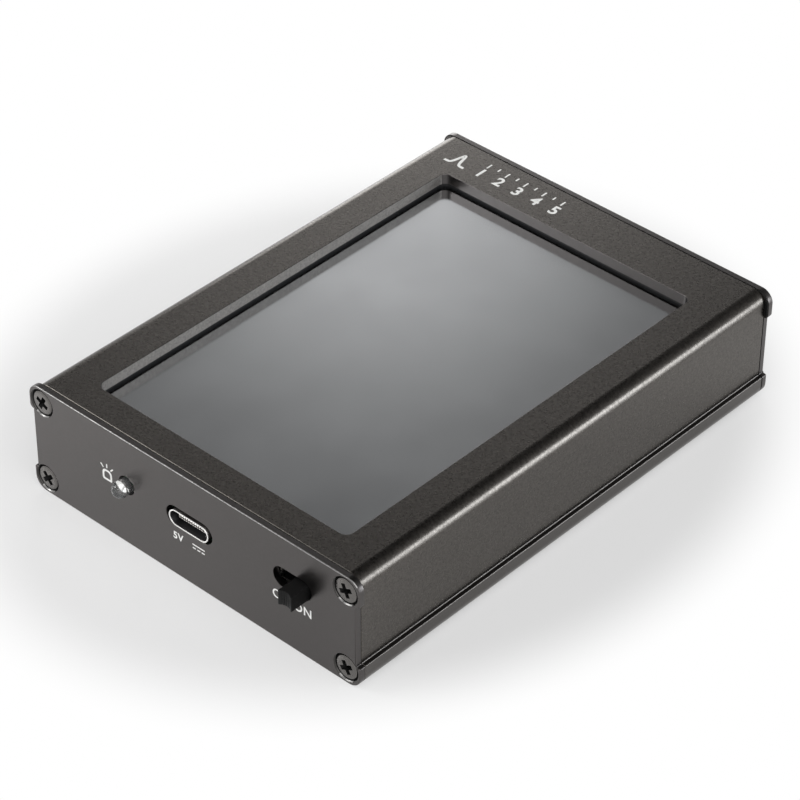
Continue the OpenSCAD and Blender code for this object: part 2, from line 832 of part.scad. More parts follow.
// A socket with a slot in its rear for a flex tail w wide
module flex_socket(x0, w) {
  slot_t = flex_t / 2 + slide;
  color("ivory") difference() {
    block([x0 - zif_wall, zif_y0, board_z], [x0 + w + zif_wall, zif_y1, board_z + zif_h]);
    block([x0 - fit, zif_y1 - flex_plug - fit, zif_z - slot_t], [x0 + w + fit, zif_y1 + past, zif_z + slot_t]);
  }
}

module lcd_flex_socket() {
  flex_socket(flex_x0, lcd_flex_w);
}

module touch_flex_socket() {
  flex_socket(touch_flex_x0, touch_flex_w);
}

// A flat package standing on the board
module chip(spot, w, l, h) {
  block([spot[0] - w / 2, spot[1] - l / 2, board_z], [spot[0] + w / 2, spot[1] + l / 2, board_z + h]);
}

// The upright walls of a shield can
module can_walls(x) {
  difference() {
    chip([x, can_y], can_w, can_l, can_h - can_t);
    translate([0, 0, -past]) chip([x, can_y], can_w - 2 * can_t, can_l - 2 * can_t, can_h + 2 * past);
  }
}

// The lid of a shield can, with a rim over the walls
module can_lid(x) {
  grow = 2 * (can_t + slide);
  z = board_z + can_h - lid_rim;
  difference() {
    intersection() {
      chip([x, can_y], can_w + grow, can_l + grow, can_h);
      translate([x - can_w, can_y - can_l, z]) cube([2 * can_w, 2 * can_l, lid_rim]);
    }
    chip([x, can_y], can_w + 2 * slide, can_l + 2 * slide, can_h - can_t);
  }
}

module mixer_can() {
  color(steel) can_walls(-can_x);
}

module mixer_can_lid() {
  color(steel) can_lid(-can_x);
}

module oscillator_can() {
  color(steel) can_walls(can_x);
}

module oscillator_can_lid() {
  color(steel) can_lid(can_x);
}

module mixer_chip() {
  color(black) chip([-can_x, can_y], radio_chip_w, radio_chip_w, small_chip_h);
}

module oscillator_chip() {
  color(black) chip([can_x, can_y], radio_chip_w, radio_chip_w, small_chip_h);
}

module processor() {
  color(black) chip([0, processor_y], processor_w, processor_w, processor_h);
}

module memory_chip() {
  color(black) chip([small_chip_x, processor_y], small_chip_w, small_chip_l, small_chip_h);
}

module crystal() {
  color(steel) chip([-small_chip_x, processor_y], crystal_w, crystal_l, crystal_h);
}

module charger_chip() {
  color(black) chip([-charger_x, charger_y], small_chip_w, small_chip_l, small_chip_h);
}

module power_inductor() {
  color("gray") difference() {
    chip([charger_x, charger_y], coil_w, coil_w, coil_h);
    translate([charger_x, charger_y, board_z + coil_h - coil_well]) cylinder(h = coil_well + past, d = coil_d);
  }
}

// USB inlet

// An obround bar along Y at the receptacle's middle
module usb_bar(y0, y1, w, h) {
  along_y(y0, y1) translate([-usb_x, usb_z]) obround(w, h);
}

module usb_shell() {
  color(steel) union() {
    difference() {
      usb_bar(usb_y0, usb_y1, usb_w, usb_h);
      usb_bar(usb_y0 - past, usb_y1 + past, usb_in_w, usb_in_h);
    }
    for (spot = tab_spots) pin(spot, usb_t, tab_l, usb_z);
  }
}

module usb_tongue() {
  x = tongue_w / 2;
  color(black) union() {
    usb_bar(usb_block_y, usb_y1, usb_in_w - 2 * fine, usb_in_h - 2 * fine);
    translate([-usb_x, 0, usb_z]) block([-x, tongue_y, -tongue_t / 2], [x, usb_y1 - fit, tongue_t / 2]);
  }
}

module usb_contacts() {
  for (i = [0 : usb_contact_n - 1], s = [-1, 1]) {
    x = (i - (usb_contact_n - 1) / 2) * usb_pitch - usb_x;
    z = usb_z + s * (tongue_t + usb_contact_t) / 2;
    color(gold) translate([x, usb_block_y - usb_contact_l / 2, z])
      cube([usb_contact_w, usb_contact_l, usb_contact_t], center = true);
  }
}

// Status LED

module led_lens() {
  spot = [-led_x, led_z];
  color([0.9, 0.95, 0.95]) union() {
    translate([-led_x, led_y0 + led_d / 2, led_z]) sphere(d = led_d);
    bar_y(spot, led_y0 + led_d / 2, led_y1, led_d);
    bar_y(spot, led_y1 - led_flange_t, led_y1, led_flange_d);
  }
}

module led_leads() {
  for (spot = lead_spots) color(steel) union() {
    pin(spot, lead_w, lead_w, led_z + lead_w / 2);
    translate([spot[0] - lead_w / 2, led_y1, led_z - lead_w / 2])
      cube([lead_w, lead_y + lead_w / 2 - led_y1, lead_w]);
  }
}

// Power switch

module switch_frame() {
  x0 = switch_x - frame_x;
  x1 = switch_x + frame_x;
  window_w = knob_w + switch_travel + 2 * switch_play;
  window_h = knob_h + 2 * knob_window_side;
  color(steel) union() {
    difference() {
      block([x0, frame_y0, board_z + 2 * fit], [x1, frame_y1, run_z1 + frame_t]);
      block([x0 + frame_t, frame_y0 + frame_t, board_z], [x1 - frame_t, frame_y1 + past, run_z1]);
      translate([switch_x, (frame_y0 + frame_y1) / 2 - frame_t, switch_z])
        cube([window_w, frame_y1 - frame_y0, window_h], center = true);
    }
    for (spot = frame_legs) pin(spot, frame_t, frame_leg_l, switch_z);
  }
}

module switch_base() {
  x = run_w / 2 - slide;
  color(black) translate([switch_x, 0, 0]) union() {
    block([-x, base_y0, board_z], [x, frame_y1, run_z1 - slide]);
    block([-x, frame_y0 + frame_t + slide, board_z], [x, base_y0, run_z0]);
  }
}

module switch_terminals() {
  for (spot = terminals) color(steel) pin(spot, terminal_w, terminal_t, board_z);
}

// The ribbed thumb hollow in the knob's end
module knob_hollow_cut() {
  half = knob_w / 2 - knob_land;
  r = (half * half + knob_hollow * knob_hollow) / (2 * knob_hollow);
  y = knob_hollow - r;
  translate([0, 0, -knob_h]) {
    translate([0, y, 0]) cylinder(h = 2 * knob_h, r = r);
    for (i = [0 : knob_groove_n - 1]) {
      x = (i - (knob_groove_n - 1) / 2) * knob_groove_pitch;
      translate([x, y + sqrt(r * r - x * x), 0]) cylinder(h = 2 * knob_h, r = knob_groove_r, $fn = 24);
    }
  }
}

module switch_knob() {
  pocket = wiper_w / 2 + slide;
  color(black) translate([knob_x, 0, switch_z]) difference() {
    union() {
      block([-knob_w / 2, knob_y, -knob_h / 2], [knob_w / 2, carriage_y0, knob_h / 2]);
      block([-carriage_w / 2, carriage_y0, -carriage_h / 2], [carriage_w / 2, carriage_y1, carriage_h / 2]);
    }
    translate([0, knob_y, 0]) knob_hollow_cut();
    block([-pocket, carriage_y1 - wiper_t, -pocket], [pocket, carriage_y1 + past, pocket]);
  }
}

module switch_wiper() {
  x = wiper_w / 2;
  color(gold) translate([knob_x, 0, switch_z]) union() {
    block([-x, carriage_y1 - wiper_t, -x], [x, carriage_y1, x]);
    for (s = [-1, 1]) translate([s * x / 2, carriage_y1, 0]) {
      cube([wiper_t, 2 * slide, wiper_w / 2], center = true);
    }
  }
}

// Coaxial jacks

module jack(x) {
  w = jack_flange_w / 2;
  spot = [x, jack_z];
  color(gold) difference() {
    union() {
      block([x - w, flange_y0, jack_z - w], [x + w, half_l, jack_z + w]);
      bar_y(spot, half_l, neck_y1, jack_neck_d);
      bar_y(spot, neck_y1, jack_y1 - jack_bevel, jack_d);
      translate([x, jack_y1 - jack_bevel, jack_z]) rotate([-90, 0, 0])
        cylinder(h = jack_bevel, d1 = jack_d, d2 = jack_d - 2 * jack_bevel);
      for (s = [-1, 1], z = [board_low_z - leg_w, board_z]) {
        translate([x + s * leg_x - leg_w / 2, flange_y0 - leg_l, z]) cube([leg_w, leg_l + fit, leg_w]);
      }
    }
    bar_y(spot, flange_y0 - past, jack_y1 + past, insulator_d + 2 * fine);
    bar_y(spot, mouth_y, jack_y1 + past, jack_mouth_d);
  }
}

module insulator(x) {
  color("white") difference() {
    bar_y([x, jack_z], flange_y0, mouth_y, insulator_d);
    bar_y([x, jack_z], flange_y0 - past, jack_y1, contact_d + 2 * fine);
  }
}

module contact(x) {
  slot_w = contact_bore_d / 4;
  color(gold) difference() {
    union() {
      bar_y([x, jack_z], half_l, mouth_y, contact_d);
      bar_y([x, jack_z], flange_y0 - leg_l, half_l, tail_d);
    }
    bar_y([x, jack_z], mouth_y - contact_bore_l, jack_y1, contact_bore_d);
    translate([x, mouth_y, jack_z]) cube([contact_d + past, contact_bore_l, slot_w], center = true);
  }
}

module input_jack() {
  jack(-jack_x);
}

module output_jack() {
  jack(jack_x);
}

module input_insulator() {
  insulator(-jack_x);
}

module output_insulator() {
  insulator(jack_x);
}

module input_contact() {
  contact(-jack_x);
}

module output_contact() {
  contact(jack_x);
}

// A ring round a jack's neck with a plain or six-sided outline
module ring(x, y, t, d, bore_d, sides) {
  color(steel) translate([x, y, jack_z]) rotate([-90, 0, 0]) difference() {
    cylinder(h = t, d = d, $fn = sides);
    translate([0, 0, -past]) cylinder(h = t + 2 * past, d = bore_d);
  }
}

module jack_washers() {
  for (s = [-1, 1]) ring(s * jack_x, rear_y, washer_t, washer_d, washer_bore_d, $fn);
}

module jack_nuts() {
  for (s = [-1, 1]) ring(s * jack_x, rear_y + washer_t, nut_t, nut_af / cos(30), nut_bore_d, 6);
}

// Battery

module battery() {
  color("silver") translate([0, 0, battery_z]) linear_extrude(battery_t)
    rounded_rect([-battery_w / 2, battery_y0], [battery_w / 2, battery_y0 + battery_l], battery_r);
}

module battery_tape() {
  x = battery_w / 2 - battery_tape_in;
  y0 = battery_y0 + battery_tape_in;
  y1 = battery_y0 + battery_l - battery_tape_in;
  color("white") block([-x, y0, floor_t], [x, y1, battery_z]);
}

module battery_guard() {
  color(board_green) block([-guard_w / 2, guard_y0, guard_z], [guard_w / 2, battery_y0, guard_z + guard_t]);
}

// A straight length of wire between two points, with a round joint at its start
module wire(a, b, joint) {
  d = b - a;
  if (joint) translate(a) sphere(d = wire_d + fine, $fn = 24);
  translate(a) rotate([0, acos(d[2] / norm(d)), atan2(d[1], d[0])]) cylinder(h = norm(d), d = wire_d, $fn = 24);
}

module battery_lead(x) {
  a = [x, socket_y1, plug_z];
  b = [x, socket_y1 + wire_end, plug_z];
  c = [x, guard_y0 - wire_end, wire_z];
  d = [x, guard_y0, wire_z];
  wire(a, b, false);
  wire(b, c, true);
  wire(c, d, true);
}

module battery_leads() {
  color("red") battery_lead(socket_x + wire_pitch / 2);
  color("black") battery_lead(socket_x - wire_pitch / 2);
}

// The plug's room in the socket, less a gap all round
module plug_room(gap) {
  x = socket_w / 2 - socket_wall - gap;
  y = socket_y0 + socket_wall + gap;
  translate([socket_x, 0, 0])
    block([-x, y, socket_z + socket_wall + gap], [x, socket_y1, board_low_z - socket_wall - gap]);
}

module battery_plug() {
  color("ivory") plug_room(slide);
}

module battery_socket() {
  x = socket_w / 2;
  color("ivory") difference() {
    block([socket_x - x, socket_y0, socket_z], [socket_x + x, socket_y1, board_low_z]);
    plug_room(0);
  }
}

top_shell();
bottom_shell();
front_plate();
rear_plate();
front_plate_screws();
rear_plate_screws();
window_gasket();
touch_film();
touch_glass();
touch_flex();
display_tape();
lcd_cell();
lcd_driver_chip();
lcd_flex();
light_guide();
lcd_tray();
display_pads();
main_board();
lcd_flex_socket();
touch_flex_socket();
mixer_can();
mixer_can_lid();
oscillator_can();
oscillator_can_lid();
mixer_chip();
oscillator_chip();
processor();
memory_chip();
crystal();
charger_chip();
power_inductor();
usb_shell();
usb_tongue();
usb_contacts();
led_lens();
led_leads();
switch_frame();
switch_base();
switch_terminals();
switch_knob();
switch_wiper();
input_jack();
output_jack();
input_insulator();
output_insulator();
input_contact();
output_contact();
jack_washers();
jack_nuts();
battery();
battery_tape();
battery_guard();
battery_leads();
battery_plug();
battery_socket();
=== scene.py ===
"""Looks of the handheld spectrum analyzer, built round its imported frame.

Lengths are in mm until a mesh is made. X runs across the front plate, Y towards the rear plate and Z up.
"""

import json
import math

import bmesh
import bpy
from mathutils import Matrix, Vector
from mathutils.geometry import tessellate_polygon


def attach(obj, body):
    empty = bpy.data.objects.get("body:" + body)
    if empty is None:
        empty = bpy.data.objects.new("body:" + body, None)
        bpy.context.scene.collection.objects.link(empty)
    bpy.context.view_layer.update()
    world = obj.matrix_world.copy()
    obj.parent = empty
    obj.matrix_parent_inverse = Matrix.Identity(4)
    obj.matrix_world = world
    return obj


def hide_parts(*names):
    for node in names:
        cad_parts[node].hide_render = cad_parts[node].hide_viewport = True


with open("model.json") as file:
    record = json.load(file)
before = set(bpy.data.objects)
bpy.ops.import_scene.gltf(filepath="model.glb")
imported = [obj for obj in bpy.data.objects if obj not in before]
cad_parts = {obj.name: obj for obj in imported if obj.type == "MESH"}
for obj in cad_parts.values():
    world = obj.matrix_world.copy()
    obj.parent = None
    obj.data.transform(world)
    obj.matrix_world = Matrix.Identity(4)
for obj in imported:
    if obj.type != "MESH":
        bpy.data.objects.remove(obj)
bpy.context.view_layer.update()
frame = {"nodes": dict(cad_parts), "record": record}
scene = bpy.context.scene

MM = 0.001
HALF_L, PLATE_T = 50.0, 1.3     # the shells run from -HALF_L to HALF_L along Y, between the plates
FACE_Y = HALF_L + PLATE_T
OUT_X, WALL_X = 37.1, 36.3      # half widths of the lower shell and the plates, and of the upper shell
TOP, LEDGE = 21.8, 4.35         # heights of the top face and of the lower shell's ledge
CORNER_R, SHOULDER_R = 2.4, 2.4
EAR_Z = 16.6                    # above this the plates are at their full width again
SCREW_X, SCREW_LOW, SCREW_HIGH = 34.1, 3.0, 18.8
SCREWS = [(s * SCREW_X, z) for s in (-1, 1) for z in (SCREW_LOW, SCREW_HIGH)]
WINDOW = (-28.0, -44.4, 28.0, 40.2, 1.5)   # x0, y0, x1, y1, corner radius
INLET_X = -0.1
LED_X, LED_Z = -14.5, 12.42
SWITCH_X, SWITCH_Z, TRAVEL = 24.75, 13.6, 4.0   # the knob's middle at ON, and its way to OFF, towards -X
JACK_X, JACK_Z = 18.0, 11.02


# Camera

def add_camera():
    """The photograph's viewpoint."""
    place = Vector((292.87, -321.29, 347.56)) * MM
    azimuth, elevation, roll = (math.radians(a) for a in (42.53, 37.97, 0.21))
    back = Vector((math.sin(azimuth) * math.cos(elevation), -math.cos(azimuth) * math.cos(elevation),
                   math.sin(elevation)))
    level = Vector((math.cos(azimuth), math.sin(azimuth), 0))
    rise = back.cross(level)
    right = level * math.cos(roll) + rise * math.sin(roll)
    up = rise * math.cos(roll) - level * math.sin(roll)
    data = bpy.data.cameras.new("camera")
    data.sensor_width, data.lens = 36, 146.97
    data.shift_x = 0.0006
    data.clip_start, data.clip_end = 0.01, 20
    cam = bpy.data.objects.new("camera", data)
    scene.collection.objects.link(cam)
    rotation = Matrix((right, up, back)).transposed().to_4x4()
    cam.matrix_world = Matrix.Translation(place) @ rotation
    scene.camera = cam


add_camera()


# Flat outlines, counterclockwise

def arc(cx, cy, r, a0, a1, n):
    steps = [math.radians(a0 + (a1 - a0) * i / n) for i in range(n + 1)]
    return [(cx + r * math.cos(a), cy + r * math.sin(a)) for a in steps]


def tidy_loop(points):
    """The loop without repeated neighbours."""
    kept = []
    for p in points:
        if not kept or math.dist(p, kept[-1]) > 1e-4:
            kept.append(p)
    while math.dist(kept[0], kept[-1]) < 1e-4:
        kept.pop()
    return kept


def circle(cx, cy, r, n=64):
    return arc(cx, cy, r, 0, 360 - 360 / n, n - 1)


def obround(cx, cy, w, h, n=20):
    x = (w - h) / 2
    return tidy_loop(arc(cx + x, cy, h / 2, -90, 90, n) + arc(cx - x, cy, h / 2, 90, 270, n))


def rounded(x0, y0, x1, y1, r, n=8):
    return (arc(x1 - r, y0 + r, r, -90, 0, n) + arc(x1 - r, y1 - r, r, 0, 90, n)
            + arc(x0 + r, y1 - r, r, 90, 180, n) + arc(x0 + r, y0 + r, r, 180, 270, n))


def inset(loop, d):
    """The loop moved to its left, inward where it runs counterclockwise, by d."""
    moved = []
    for i, point in enumerate(loop):
        p = Vector(point)
        e1 = (p - Vector(loop[i - 1])).normalized()
        e2 = (Vector(loop[(i + 1) % len(loop)]) - p).normalized()
        n1, n2 = Vector((-e1.y, e1.x)), Vector((-e2.y, e2.x))
        moved.append(tuple(p + (n1 + n2) * (d / max(1 + n1.dot(n2), 0.3))))
    return moved


def mirrored(right_side):
    """A closed loop from its right side, which runs from the bottom to the top."""
    return tidy_loop(right_side + [(-x, y) for x, y in reversed(right_side)])


# Meshes

def shade(bm, smooth, flat=1e9):
    """Smooth shading up to an angle in degrees. Caps, and faces larger than flat, keep sharp borders."""
    limit, flush = math.radians(smooth), 0.003
    mark = bm.faces.layers.int.get("cap")

    def kind(f):
        if mark and f[mark]:
            return "cap"
        return "large" if f.calc_area() > flat else "plain"

    for f in bm.faces:
        f.smooth = True
    for e in bm.edges:
        kinds = {kind(f) for f in e.link_faces}
        most = flush if len(kinds) > 1 or "large" in kinds else limit
        e.smooth = e.is_manifold and e.calc_face_angle(math.pi) < most


def as_object(name, bm, *mats, smooth=35):
    """The mesh, in mm, as an object in metres. Edges sharper than smooth degrees stay sharp."""
    bmesh.ops.recalc_face_normals(bm, faces=bm.faces)
    shade(bm, smooth)
    bmesh.ops.scale(bm, vec=(MM, MM, MM), verts=bm.verts)
    mesh = bpy.data.meshes.new(name)
    bm.to_mesh(mesh)
    bm.free()
    obj = bpy.data.objects.new(name, mesh)
    scene.collection.objects.link(obj)
    for m in mats:
        mesh.materials.append(m)
    return obj


def loft(bm, rings, closed=False):
    """Quads between rings of equally many corners. Returns the rings of vertices."""
    made = [[bm.verts.new(p) for p in ring] for ring in rings]
    pairs = list(zip(made, made[1:])) + ([(made[-1], made[0])] if closed else [])
    for a, b in pairs:
        for i in range(len(a)):
            j = (i + 1) % len(a)
            bm.faces.new((a[i], a[j], b[j], b[i]))
    return made


def cap(bm, rings):
    """Closes a flat outline, the first ring, round its holes, the other rings."""
    mark = bm.faces.layers.int.get("cap") or bm.faces.layers.int.new("cap")
    flat = [v for ring in rings for v in ring]
    for tri in tessellate_polygon([[v.co for v in ring] for ring in rings]):
        bm.faces.new([flat[i] for i in tri])[mark] = 1


def solid(bm, rings):
    """A loft with both ends closed."""
    made = loft(bm, rings)
    cap(bm, [made[0]])
    cap(bm, [made[-1]])


def slab(bm, place, *outlines):
    """A plate whose outlines, each (loop, [(inset, depth), ...]), are its edge and its holes."""
    firsts, lasts = [], []
    for loop, sections in outlines:
        made = loft(bm, [[place(x, z, t) for x, z in inset(loop, d)] for d, t in sections])
        firsts.append(made[0])
        lasts.append(made[-1])
    cap(bm, firsts)
    cap(bm, lasts)


def along_y(loop, sections):
    """Rings for a loft along Y: the loop at each (inset, y)."""
    return [[(x, y, z) for x, z in inset(loop, d)] for d, y in sections]


def rings_round(axis_at, profile, n=64):
    """Circles round a line along Y through axis_at (x, z), one for each (radius, y)."""
    return [[(x, y, z) for x, z in circle(*axis_at, r, n)] for r, y in profile]


def turned(bm, profile, axis_at, n=64):
    """A solid turned round a line along Y; a profile that starts or ends at radius 0 gets a point there."""
    made = loft(bm, rings_round(axis_at, [(r, y) for r, y in profile if r > 0], n))
    for ring, (r, y) in ((made[0], profile[0]), (made[-1], profile[-1])):
        if r > 0:
            bm.faces.new(ring)
            continue
        tip = bm.verts.new((axis_at[0], y, axis_at[1]))
        for i in range(n):
            bm.faces.new((ring[i], ring[(i + 1) % n], tip))


def front(x, z, t):
    return (x, -FACE_Y + t, z)


def rear(x, z, t):
    return (x, FACE_Y - t, z)


def cut(obj, *tools):
    """Cuts the tools out of obj and removes them."""
    for tool in tools:
        mod = obj.modifiers.new("cut", "BOOLEAN")
        mod.object, mod.operation, mod.solver = tool, "DIFFERENCE", "EXACT"
    done = bpy.data.meshes.new_from_object(obj.evaluated_get(bpy.context.evaluated_depsgraph_get()))
    obj.modifiers.clear()
    old, obj.data = obj.data, done
    bpy.data.meshes.remove(old)
    for tool in tools:
        bpy.data.objects.remove(tool)


def sharpen(obj, smooth=35, flat=2e-5):
    """Marks the sharp edges again after a cut, and those round big flat faces (area in m2)."""
    bm = bmesh.new()
    bm.from_mesh(obj.data)
    bmesh.ops.dissolve_degenerate(bm, dist=1e-7, edges=bm.edges)
    shade(bm, smooth, flat)
    bm.to_mesh(obj.data)
    bm.free()


# Materials

def material(name, color, rough, metal=0.0, tint=0.0, tint_scale=20.0, vary=0.0, vary_scale=60.0, bump=None,
             **sockets):
    """A Principled material. Noise, with scales per metre, lets its colour wander by the share tint and its
    roughness by vary, and bump is (scale, height in mm, strength)."""
    mat = bpy.data.materials.new(name)
    mat.use_nodes = True
    nodes, links = mat.node_tree.nodes, mat.node_tree.links
    shader = nodes["Principled BSDF"]
    shader.inputs["Base Color"].default_value = (*color, 1)
    shader.inputs["Roughness"].default_value = rough
    shader.inputs["Metallic"].default_value = metal
    for key, value in sockets.items():
        shader.inputs[key.replace("_", " ")].default_value = value
    place = nodes.new("ShaderNodeTexCoord").outputs["Object"]

    def noise(scale, detail=3.0):
        n = nodes.new("ShaderNodeTexNoise")
        n.inputs["Scale"].default_value, n.inputs["Detail"].default_value = scale, detail
        links.new(place, n.inputs["Vector"])
        return n.outputs["Fac"]

    def ramp(value, low, high, out_low, out_high):
        n = nodes.new("ShaderNodeMapRange")
        for i, v in enumerate((low, high, out_low, out_high)):
            n.inputs[i + 1].default_value = v
        links.new(value, n.inputs[0])
        return n.outputs[0]

    if tint:
        mix = nodes.new("ShaderNodeMix")
        mix.data_type = "RGBA"
        mix.inputs[6].default_value = (*(c * (1 - tint) for c in color), 1)
        mix.inputs[7].default_value = (*(min(c * (1 + tint), 1) for c in color), 1)
        links.new(noise(tint_scale), mix.inputs[0])
        links.new(mix.outputs[2], shader.inputs["Base Color"])
    if vary:
        links.new(ramp(noise(vary_scale), 0.3, 0.7, rough - vary, rough + vary), shader.inputs["Roughness"])
    if bump:
        scale, height, strength = bump
        relief = nodes.new("ShaderNodeBump")
        relief.inputs["Strength"].default_value = strength
        relief.inputs["Distance"].default_value = height * MM
        links.new(noise(scale, 2.0), relief.inputs["Height"])
        links.new(relief.outputs["Normal"], shader.inputs["Normal"])
    return mat


blasted = material("blasted_aluminium", (0.095, 0.0875, 0.08), 0.29, 1.0, tint=0.5, tint_scale=2500,
                   vary=0.05, vary_scale=1700, bump=(2400, 0.02, 0.45))
satin = material("satin_aluminium", (0.106, 0.1, 0.095), 0.3, 1.0, tint=0.08, tint_scale=2600, vary=0.02,
                 vary_scale=900, bump=(2600, 0.01, 0.3))
sheet = material("sheet_aluminium", (0.088, 0.082, 0.08), 0.3, 1.0, tint=0.06, tint_scale=2600, vary=0.02,
                 vary_scale=900, bump=(2600, 0.01, 0.3))
# Painted highlight: a lighter copy of the plates' metal, put on their top edges and on the lower part of the
# countersinks' rims.
edge_painted_highlight = material("edge_painted_highlight", (0.3, 0.295, 0.29), 0.35, 1.0, tint=0.9, tint_scale=2400, vary=0.05,
                     vary_scale=900, bump=(2400, 0.02, 0.5))
# Painted light: a lighter copy of the metal for the window's walls that face X.
wall_painted_light = material("painted_light_wall_metal", (0.42, 0.405, 0.39), 0.5, 0.9, tint=0.6, tint_scale=2600, vary=0.05,
                  vary_scale=900, bump=(2300, 0.03, 0.8))
screw_steel = material("screw_steel", (0.14, 0.133, 0.127), 0.26, 1.0, tint=0.1, tint_scale=2000, vary=0.05,
                       vary_scale=1500, bump=(1800, 0.02, 0.3))
foam = material("black_foam", (0.012, 0.012, 0.013), 0.9, tint=0.3, tint_scale=900, bump=(2500, 0.08, 0.8))
# Painted shade: a dark copy of the tin for the inside of the USB shell.
tin_painted_shade = material("tin_painted_shade", (0.08, 0.08, 0.083), 0.4, 1.0, tint=0.1, tint_scale=900, vary=0.05,
                    bump=(2500, 0.02, 0.3))
nickel = material("bright_nickel", (0.9, 0.89, 0.87), 0.22, 1.0, tint=0.04, vary=0.05, vary_scale=400)
tin = material("tin_sheet", (0.62, 0.61, 0.58), 0.3, 1.0, tint=0.06, tint_scale=300, vary=0.06,
               vary_scale=300, bump=(900, 0.02, 0.2))
# Painted glint: near white and partly matt, lighter than the contacts' gold plating.
contact_painted_glint = material("contact_painted_glint", (0.93, 0.9, 0.86), 0.35, 0.6, tint=0.04, tint_scale=900, vary=0.05,
                         vary_scale=900)
gold = material("gold_plate", (0.86, 0.62, 0.28), 0.22, 1.0, tint=0.05, tint_scale=200, vary=0.05,
                vary_scale=400)
black_plastic = material("black_plastic", (0.005, 0.005, 0.005), 0.5, tint=0.2, tint_scale=500, vary=0.06,
                         vary_scale=700, bump=(3000, 0.02, 0.4), Specular_IOR_Level=0.18)
chip_black = material("moulded_black", (0.02, 0.02, 0.022), 0.6, tint=0.2, tint_scale=900,
                      bump=(4000, 0.02, 0.5))
ivory = material("ivory_nylon", (0.78, 0.74, 0.62), 0.45, tint=0.05, vary=0.05, bump=(2000, 0.02, 0.2))
white_plastic = material("white_insulator", (0.87, 0.87, 0.84), 0.5, tint=0.03, vary=0.05,
                         bump=(1500, 0.02, 0.2))
amber = material("amber_film", (0.55, 0.26, 0.04), 0.3, tint=0.1, tint_scale=300, vary=0.05)
board_green = material("board_green", (0.012, 0.11, 0.045), 0.35, tint=0.15, tint_scale=400, vary=0.08,
                       bump=(1800, 0.02, 0.3))
white_film = material("white_film", (0.85, 0.85, 0.83), 0.4, tint=0.02, vary=0.05)
grey_ferrite = material("grey_ferrite", (0.09, 0.09, 0.095), 0.55, tint=0.15, tint_scale=900,
                        bump=(2500, 0.03, 0.4))
pouch = material("foil_pouch", (0.66, 0.67, 0.68), 0.3, 1.0, tint=0.04, vary=0.08, vary_scale=80,
                 bump=(300, 0.08, 0.3))
wire = material("wire_red", (0.42, 0.015, 0.012), 0.4, tint=0.08, vary=0.05, bump=(900, 0.02, 0.2))
cell_glass = material("cell_glass", (0.12, 0.13, 0.14), 0.08, tint=0.05, vary=0.02)
ink = material("white_ink", (0.8, 0.8, 0.78), 0.5, tint=0.05, tint_scale=1500, bump=(2500, 0.02, 0.3))
# Painted shade: near black, put in the groove behind each plate, deep in the countersinks and in the screws'
# cross recesses.
gap_painted_shade = material("gap_painted_shade", (0.004, 0.004, 0.004), 0.6, tint=0.2, tint_scale=900, vary=0.03,
                     bump=(2500, 0.01, 0.2), Specular_IOR_Level=0.2)
# Painted shade: a dark, shiny copy of the metal for the countersinks' rims, in which the lamps still show.
sink_painted_shade = material("sink_painted_shade", (0.05, 0.048, 0.046), 0.16, 1.0, tint=0.1, tint_scale=900, vary=0.03,
                      bump=(2500, 0.01, 0.2))
clear = material("clear_epoxy", (0.86, 0.87, 0.87), 0.04, vary=0.015, vary_scale=300,
                 Transmission_Weight=0.95, IOR=1.5)
screen = material("touch_film", (0.437, 0.445, 0.453), 0.15, 1.0, tint=0.03, tint_scale=150, vary=0.02,
                  vary_scale=60, bump=(260, 0.004, 0.06))

SLOT_MATERIALS = {
    "case": satin, "screw_steel": screw_steel, "gasket": foam, "touch_face": screen,
    "display_glass": cell_glass, "flex": amber, "tape": white_film, "chip": chip_black, "guide": white_film,
    "tin": tin, "foam": foam, "board": board_green, "socket": ivory, "ferrite": grey_ferrite,
    "inlet_steel": nickel, "inlet_plastic": black_plastic, "gold": gold, "jack_gold": gold,
    "jack_hardware": nickel, "insulator": white_plastic, "led_clear": clear, "switch_plastic": black_plastic,
    "pouch": pouch, "lead": wire,
}
for part in frame["record"]["subparts"]:
    node = frame["nodes"][part["node"]]
    node.data.materials.clear()
    node.data.materials.append(SLOT_MATERIALS[part["material_slot"]])


def piece(obj, slot, *nodes, body="case"):
    """Puts the object on its body, in place of the CAD nodes, if any are named."""
    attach(obj, body)
    if nodes:
        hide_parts(*nodes)


# Case

LIP_R, FILLET_R = 0.18, 0.2     # edge of the lower shell's ledge, and the corner between ledge and wall
CEILING, BASE_T = 19.8, 1.6     # underside of the upper shell's top, and thickness of the lower shell's base
PORT_R, BORE_R = 2.2, 1.05      # the shells' screw ports, and their bores


def lower_side(lip_r=LIP_R):
    """Right side of the lower shell and the plates, from the base up to the wall."""
    return (arc(OUT_X - CORNER_R, CORNER_R, CORNER_R, -90, 0, 12)
            + arc(OUT_X - lip_r, LEDGE - lip_r, lip_r, 0, 90, 5)
            + arc(WALL_X + FILLET_R, LEDGE + FILLET_R, FILLET_R, 270, 180, 5))


def shoulder():
    """Right shoulder of the upper shell, from the wall up to the top face."""
    return arc(WALL_X - SHOULDER_R, TOP - SHOULDER_R, SHOULDER_R, 0, 90, 24)


def shell_bar(loop, chamfer, screw_z):
    """A shell's section drawn out along Y, with chamfered ends and a bore for the screws at each side."""
    ends = [(chamfer, -HALF_L), (0, chamfer - HALF_L), (0, HALF_L - chamfer), (chamfer, HALF_L)]
    bores = [(circle(s * SCREW_X, screw_z, BORE_R, 24), [(0, y) for _, y in ends]) for s in (-1, 1)]
    bm = bmesh.new()
    slab(bm, lambda x, z, y: (x, y, z), (loop, ends), *bores)
    return bm


